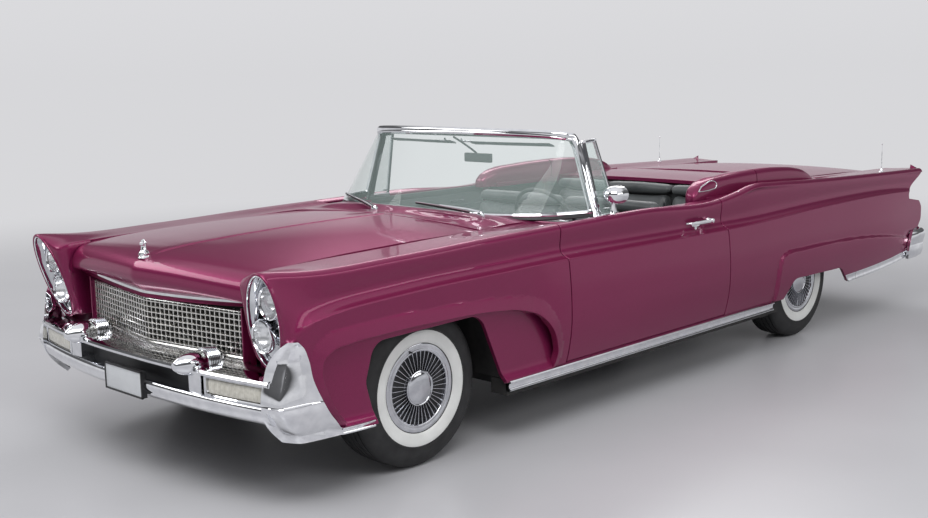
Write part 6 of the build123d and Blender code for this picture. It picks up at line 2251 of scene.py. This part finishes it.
side_trim()
pair("door_handle", door_handle(), CHROME, "door_{}_body")


def fairing_pocket():
    """Bright teardrop set in each fairing's outer face, and the moulding where the belt kicks up."""
    loop = curve([(0.236, 1.016), (0.262, 1.036), (0.312, 1.054), (0.362, 1.066), (0.400, 1.062),
                  (0.414, 1.044), (0.402, 1.026), (0.366, 1.020), (0.300, 1.016), (0.236, 1.016)], 0.006)
    points = []
    for y, z in loop:
        middle, half, base, tall, power = hump_section(FAIRING, y)
        s = min(max((z - base) / tall, 0.0), 0.985) ** (1 / power)
        points.append((middle + half * math.sqrt(max(1 - s * s, 0)) ** power, y, z))
    ring = tube(points, 0.0036, 10, (1, 0, 0.2))
    kick = [(0.436, 0.979), (0.462, 0.983), (0.495, 0.990), (0.530, 1.001)]
    path = np.array([(0.936, y, z + 0.004) for y, z in curve(kick, 0.008)])
    wide = np.sin(np.linspace(0.15, PI - 0.15, len(path)))
    bar = tube(path, 0.0060, 10, scale=wide, squash=0.6)
    return joined([ring, bar])


pair("fairing_trim", fairing_pocket(), CHROME)


# ---------------------------------------------------------------- wheelhouses and the frame's own parts
def front_wheelhouse():
    arch = curve([(-2.470, 0.318), (-2.455, 0.520), (-2.390, 0.690), (-2.200, 0.800), (-1.969, 0.822),
                  (-1.740, 0.800), (-1.570, 0.690), (-1.512, 0.520), (-1.500, 0.318)], 0.03)
    return extruded(np.concatenate([arch, arch[::-1] - (0, 0.004)]), 0.472, 0.930, 9)


pair("front_wheelhouse", front_wheelhouse(), UNDERSEAL)

CARRIED = {"underbody": UNDERSEAL, "front_panel": BLACK, "front_suspension": IRON, "rear_axle": IRON,
           "knuckle_left": STEEL, "knuckle_right": STEEL, "exhaust": STEEL}
for name, finish in CARRIED.items():
    for holder in NODES[name].material_slots:
        holder.material = finish


# ---------------------------------------------------------------- engine
BANK_ANGLE = math.radians(42)
FAN_BLADES, BATTERY_CAPS = 5, 6


def tilted(made, angle, pivot_x, pivot_z):
    """A mesh turned about a lengthways line."""
    verts, faces = made
    verts = np.array(verts, float)
    c, s = math.cos(angle), math.sin(angle)
    x, z = verts[:, 0] - pivot_x, verts[:, 2] - pivot_z
    return np.column_stack([pivot_x + x * c - z * s, verts[:, 1], pivot_z + x * s + z * c]), faces


def prism_along_y(section, y0, y1, bevel=0.012):
    """An (x, z) outline carried from y0 to y1, drawn in a little at both ends."""
    section = np.asarray(section, float)
    middle = section.mean(axis=0)
    rings = []
    for y, inset in ((y0, bevel), (y0 + bevel, 0.0), (y1 - bevel, 0.0), (y1, bevel)):
        p = middle + (section - middle) * (1 - inset / 0.12)
        rings.append([(x, y, z) for x, z in p])
    return solid(rings)


def engine():
    block = prism_along_y([(-0.130, 0.350), (0.130, 0.350), (0.150, 0.470), (0.255, 0.575), (0.165, 0.680),
                           (0.060, 0.640), (-0.060, 0.640), (-0.165, 0.680), (-0.255, 0.575),
                           (-0.150, 0.470)], -2.180, -1.640)
    sump = prism_along_y([(-0.110, 0.332), (0.110, 0.332), (0.140, 0.372), (-0.140, 0.372)], -2.140, -1.700,
                         0.010)
    bell = prism_along_y([(-0.150, 0.350), (0.150, 0.350), (0.185, 0.470), (0.130, 0.610), (-0.130, 0.610),
                          (-0.185, 0.470)], -1.645, -1.484, 0.016)
    front = spun([(0.105, 0.0), (0.105, 0.030), (0.090, 0.036), (0.030, 0.038), (THIN, 0.038)],
                 (0, -2.178, 0.500), (0, -1, 0), 40)
    mount = box_mesh(-0.448, 0.448, -2.076, -2.004, 0.402, 0.438, 0.006)
    piece("engine_castings", [block, sump, bell, front, mount], ENGINE_PAINT, replaces=("engine_block",))
    heads, covers, manifolds, bolts = [], [], [], []
    for side in (-1, 1):
        angle = -side * BANK_ANGLE
        x, z = centre = (side * 0.205, 0.640)
        head = box_mesh(x - 0.085, x + 0.085, -2.170, -1.655, z - 0.040, z + 0.035, 0.006)
        cover = box_mesh(x - 0.066, x + 0.066, -2.155, -1.670, z + 0.034, z + 0.092, 0.016)
        ribs = [box_mesh(at - 0.003, at + 0.003, -2.120, -1.705, z + 0.090, z + 0.0965, 0.0015)
                for at in (x - 0.036, x - 0.018, x, x + 0.018, x + 0.036)]
        heads.append(tilted(head, angle, *centre))
        covers += [tilted(m, angle, *centre) for m in (cover, *ribs)]
        for y in np.linspace(-2.12, -1.70, 4):
            for dx in (-0.072, 0.072):
                bolt = spun([(THIN, 0.012), (0.007, 0.012), (0.0075, 0.0), (THIN, 0.0)],
                            (x + dx, y, z + 0.034), Z_AXIS, 6)
                bolts.append(tilted(bolt, angle, *centre))
            port = curve([(side * 0.255, y, 0.575), (side * 0.272, y + 0.01, 0.545),
                          (side * 0.275, y + 0.05, 0.520)], 0.01)
            manifolds.append(tube(port, 0.020, 12))
        log = np.array([(side * 0.266, y, 0.520) for y in np.linspace(-2.13, -1.60, 12)])
        manifolds.append(tube(log, 0.022, 14))
    piece("cylinder_heads", heads, ENGINE_PAINT)
    piece("valve_covers", covers, CHAMPAGNE, slot="iron")
    piece("exhaust_manifolds", manifolds, IRON)
    piece("head_bolts", bolts, STEEL)
    intake = prism_along_y([(-0.100, 0.640), (0.100, 0.640), (0.110, 0.690), (0.060, 0.722), (-0.060, 0.722),
                            (-0.110, 0.690)], -2.130, -1.700, 0.014)
    carb = spun([(THIN, 0.720), (0.052, 0.720), (0.052, 0.736), (0.040, 0.740), (0.046, 0.770),
                 (0.046, 0.782), (THIN, 0.782)], (0, -1.930, 0.0), Z_AXIS, 36)
    piece("intake_manifold", [intake, carb], IRON)
    lid = [(THIN, 0.8400), (0.020, 0.8395), (0.110, 0.8370), (0.160, 0.8330), (0.176, 0.8260),
           (0.178, 0.8180), (0.172, 0.8150), (0.172, 0.7980), (0.178, 0.7950), (0.178, 0.7880),
           (0.150, 0.7820), (0.060, 0.7800), (THIN, 0.7800)]
    cleaner = spun(lid, (0, -1.930, 0.0), Z_AXIS, 72)
    snout = tube([(0.0, y, 0.800) for y in np.linspace(-2.090, -2.215, 6)], 0.030, 24, squash=0.7)
    nut = [spun([(THIN, 0.8580), (0.005, 0.8580), (0.006, 0.8540), (0.010, 0.8460), (0.011, 0.8390),
                 (THIN, 0.8390)], (0, -1.930, 0.0), Z_AXIS, 20),
           box_mesh(-0.022, 0.022, -1.9325, -1.9275, 0.847, 0.857, 0.002)]
    piece("air_cleaner", [cleaner, snout], BLACK)
    piece("air_cleaner_nut", nut, CHROME)


def cooling():
    """Radiator with its tanks and hoses, fan, pulley and belt."""
    core = box_mesh(-0.290, 0.290, -2.570, -2.515, 0.380, 0.720, 0.002)
    piece("radiator_core", core, RADIATOR_CORE)
    tanks = [box_mesh(-0.300, 0.300, -2.580, -2.505, 0.716, 0.768, 0.012),
             box_mesh(-0.300, 0.300, -2.576, -2.509, 0.340, 0.386, 0.010),
             spun([(THIN, 0.020), (0.026, 0.020), (0.030, 0.016), (0.030, 0.006), (0.024, 0.0), (THIN, 0.0)],
                  (0.120, -2.542, 0.766), Z_AXIS, 28)]
    for x in (-0.315, 0.315):
        tanks.append(box_mesh(x - 0.020, x + 0.020, -2.606, -2.500, 0.340, 0.760, 0.004))
    piece("radiator_tanks", tanks, BLACK)
    top = curve([(0.120, -2.510, 0.735), (0.120, -2.470, 0.736), (0.110, -2.380, 0.715),
                 (0.060, -2.270, 0.700), (0.020, -2.190, 0.690), (0.015, -2.120, 0.690)], 0.01)
    low = curve([(-0.200, -2.512, 0.380), (-0.200, -2.450, 0.376), (-0.150, -2.330, 0.400),
                 (-0.110, -2.230, 0.450), (-0.090, -2.170, 0.470)], 0.01)
    piece("coolant_hoses", [tube(top, 0.022, 20), tube(low, 0.022, 20)], RUBBER)
    blades = []
    hub = (0.0, -2.330, 0.560)
    for a in angles(FAN_BLADES):
        radial, around = np.array((math.cos(a), 0, math.sin(a))), np.array((-math.sin(a), 0, math.cos(a)))
        rings = []
        for r, half in ((0.045, 0.020), (0.10, 0.040), (0.17, 0.050), (0.205, 0.044)):
            mid = np.array(hub) + radial * r
            twist = around * half + np.array((0, -0.020, 0))
            rings.append([mid - twist, mid + twist, mid + twist + (0, 0.003, 0), mid - twist + (0, 0.003, 0)])
        blades.append(solid(rings))
    pulley = spun([(THIN, -0.030), (0.050, -0.030), (0.062, -0.022), (0.048, -0.012), (0.062, -0.002),
                   (0.040, 0.004), (0.022, 0.010), (0.022, 0.120), (THIN, 0.120)], (0, -2.318, 0.560), Y_AXIS,
                  36)
    lower = spun([(THIN, -0.020), (0.072, -0.020), (0.080, -0.012), (0.066, -0.002), (0.080, 0.008),
                  (0.060, 0.014), (0.030, 0.090), (THIN, 0.090)], (0, -2.300, 0.400), Y_AXIS, 36)
    piece("fan_and_pulleys", [*blades, pulley, lower], STEEL)
    belt = []
    for a in np.linspace(0, 2 * PI, 49)[:-1]:
        centre, radius = (0.560, 0.056) if math.sin(a) >= 0 else (0.400, 0.072)
        belt.append((radius * math.cos(a), -2.330 + 0.022, centre + radius * math.sin(a)))
    piece("fan_belt", tube(belt + belt[:1], 0.006, 8, Y_AXIS), RUBBER)
    battery = [box_mesh(0.300, 0.440, -2.460, -2.230, 0.440, 0.640, 0.006)]
    for k in range(BATTERY_CAPS):
        battery.append(spun([(THIN, 0.012), (0.011, 0.012), (0.012, 0.008), (0.012, 0.0), (THIN, 0.0)],
                            (0.385, -2.435 + 0.036 * k, 0.638), Z_AXIS, 16))
    battery.append(box_mesh(0.290, 0.452, -2.470, -2.220, 0.396, 0.442, 0.004))
    piece("battery", battery, BLACK)


engine()
cooling()


def lamp_walls():
    """Painted walls behind the lamp pods that close the front of each fender."""
    front = box_mesh(0.614, 0.946, -2.612, -2.606, 0.470, 0.800, 0.002)
    inner = box_mesh(0.603, 0.612, -2.690, -2.600, 0.545, 0.790, 0.002)
    piece("lamp_walls", both(joined([front, inner])), PAINT)


def quarter_walls():
    """Inner walls of the rear quarters, beside the trunk and across behind the tail lobe."""
    along = box_mesh(0.857, 0.861, 1.780, 2.700, 0.405, 0.945, 0.001)
    across = box_mesh(0.857, 0.962, 2.690, 2.696, 0.405, 0.930, 0.002)
    piece("quarter_inner_walls", both(joined([along, across])), PAINT)


lamp_walls()
quarter_walls()


# ---------------------------------------------------------------- camera, light and floor
PHOTO_WIDE, PHOTO_HIGH = 928, 518                    # the photo's size in pixels
FOCAL, CENTRE = 1179.28, (467.1, 259.4)              # its focal length and optical centre in pixels
CAMERA_PLACE = Vector((4.498, -5.382, 1.720))
AZIMUTH, ELEVATION, ROLL = 0.7716, 0.1599, -0.0198
SENSOR = 36                                          # mm
# name, place, aimed at, size x, size y, watts
AREA_LIGHTS = (
    ("key", (2.6, -4.2, 5.2), (0, -0.6, 0.5), 5.0, 2.2, 230),
    ("side", (6.5, 0.8, 3.6), (0, 0.2, 0.6), 7.0, 1.6, 95),
    ("back", (-3.5, 4.5, 5.0), (0, 0.5, 0.5), 6.0, 2.0, 150),
    ("fill", (-4.3, -4.4, 4.4), (0, -2.0, 0.6), 5.0, 1.4, 95),
)
WALL_TONE = (0.68, 0.68, 0.700, 1)
FLOOR_HALF, FLOOR_NEAR, FLOOR_FAR = 60, 3.4, 10.0    # the floor fades to the wall's tone from near to far


def camera():
    forward = Vector((-math.sin(AZIMUTH) * math.cos(ELEVATION), math.cos(AZIMUTH) * math.cos(ELEVATION),
                      -math.sin(ELEVATION)))
    right = forward.cross(Vector(Z_AXIS)).normalized()
    up = right.cross(forward)
    turned_right = math.cos(ROLL) * right + math.sin(ROLL) * up
    above = -math.sin(ROLL) * right + math.cos(ROLL) * up
    data = bpy.data.cameras.new("camera")
    data.sensor_width = SENSOR
    data.lens = FOCAL / PHOTO_WIDE * SENSOR
    data.shift_x = (PHOTO_WIDE / 2 - CENTRE[0]) / PHOTO_WIDE
    data.shift_y = (CENTRE[1] - PHOTO_HIGH / 2) / PHOTO_WIDE
    eye = bpy.data.objects.new("camera", data)
    columns = Matrix((turned_right, above, -forward)).transposed()
    eye.matrix_world = Matrix.Translation(CAMERA_PLACE) @ columns.to_4x4()
    bpy.context.scene.collection.objects.link(eye)
    bpy.context.scene.camera = eye
    bpy.context.scene.view_settings.view_transform = "Standard"


def lights():
    for name, at, aim, size_x, size_y, watts in AREA_LIGHTS:
        lamp = bpy.data.lights.new(name, "AREA")
        lamp.shape, lamp.size, lamp.size_y, lamp.energy = "RECTANGLE", size_x, size_y, watts
        obj = bpy.data.objects.new(name, lamp)
        obj.location = at
        obj.rotation_euler = (Vector(aim) - Vector(at)).to_track_quat("-Z", "Y").to_euler()
        bpy.context.scene.collection.objects.link(obj)


def seen_rays(tree):
    """1 on rays from the eye, off metal and through glass, else 0."""
    path = add_node(tree, "LightPath")
    total = path.outputs["Is Camera Ray"]
    for kind in ("Is Glossy Ray", "Is Transmission Ray"):
        either = add_node(tree, "Math", {0: total, 1: path.outputs[kind]})
        either.operation = "MAXIMUM"
        total = either.outputs["Value"]
    return total


def height_ramp(tree, stops):
    """A colour by the direction's height, from (height, grey) stops."""
    place = add_node(tree, "TexCoord")
    split = add_node(tree, "SeparateXYZ", {"Vector": place.outputs["Generated"]})
    ramp = add_node(tree, "ValToRGB", {"Fac": split.outputs["Z"]})
    elements = ramp.color_ramp.elements
    while len(elements) < len(stops):
        elements.new(0.5)
    for element, (height, grey) in zip(elements, stops):
        element.position = height
        element.color = (grey, grey, min(1, grey * 1.03), 1)
    return ramp.outputs["Color"]


def studio_world():
    """Even light for the object. The eye, metal and glass see a pale wall with soft boxes over it."""
    world = bpy.data.worlds.new("studio")
    bpy.context.scene.world = world
    world.use_nodes = True
    tree = world.node_tree
    back = tree.nodes["Background"]
    even = height_ramp(tree, ((0.0, 0.34), (0.75, 0.52)))
    seen = height_ramp(tree, ((0.0, 0.68), (0.10, 0.72), (0.17, 0.62), (0.24, 0.08), (0.50, 0.14),
                              (0.64, 0.75), (1.0, 0.90)))
    mix = tree.nodes.new("ShaderNodeMix")
    mix.data_type = "RGBA"
    tree.links.new(seen_rays(tree), mix.inputs["Factor"])
    tree.links.new(even, mix.inputs["A"])
    tree.links.new(seen, mix.inputs["B"])
    tree.links.new(mix.outputs["Result"], back.inputs["Color"])
    back.inputs["Strength"].default_value = 1.0


def floor():
    """A pale floor that runs into the wall: far from the object the eye sees the wall's own tone."""
    mat, tree, shader = nodes_for("pale_floor")
    speck = ramp_of(tree, noise_of(tree, 0.8), (0.50, 0.50, 0.52), (0.54, 0.54, 0.56))
    tree.links.new(speck, shader.inputs["Base Color"])
    set_inputs(shader, Roughness=0.30)
    wall = add_node(tree, "Emission", Color=WALL_TONE)
    far = add_node(tree, "VectorMath", {0: add_node(tree, "TexCoord").outputs["Object"]})
    far.operation = "LENGTH"
    span = add_node(tree, "MapRange", {"Value": far.outputs["Value"]}, From_Min=FLOOR_NEAR,
                    From_Max=FLOOR_FAR)
    span.interpolation_type = "SMOOTHSTEP"
    both_tests = add_node(tree, "Math", {0: span.outputs["Result"], 1: seen_rays(tree)})
    both_tests.operation = "MULTIPLY"
    blend = add_node(tree, "MixShader", {"Fac": both_tests.outputs["Value"], 1: shader.outputs["BSDF"],
                                         2: wall.outputs["Emission"]})
    tree.links.new(blend.outputs["Shader"], tree.nodes["Material Output"].inputs["Surface"])
    mesh = bpy.data.meshes.new("floor")
    corners = [(x * FLOOR_HALF, y * FLOOR_HALF, 0) for x, y in ((-1, -1), (1, -1), (1, 1), (-1, 1))]
    mesh.from_pydata(corners, [], [(0, 1, 2, 3)])
    obj = bpy.data.objects.new("floor", mesh)
    obj.data.materials.append(mat)
    bpy.context.scene.collection.objects.link(obj)


camera()
lights()
studio_world()
floor()
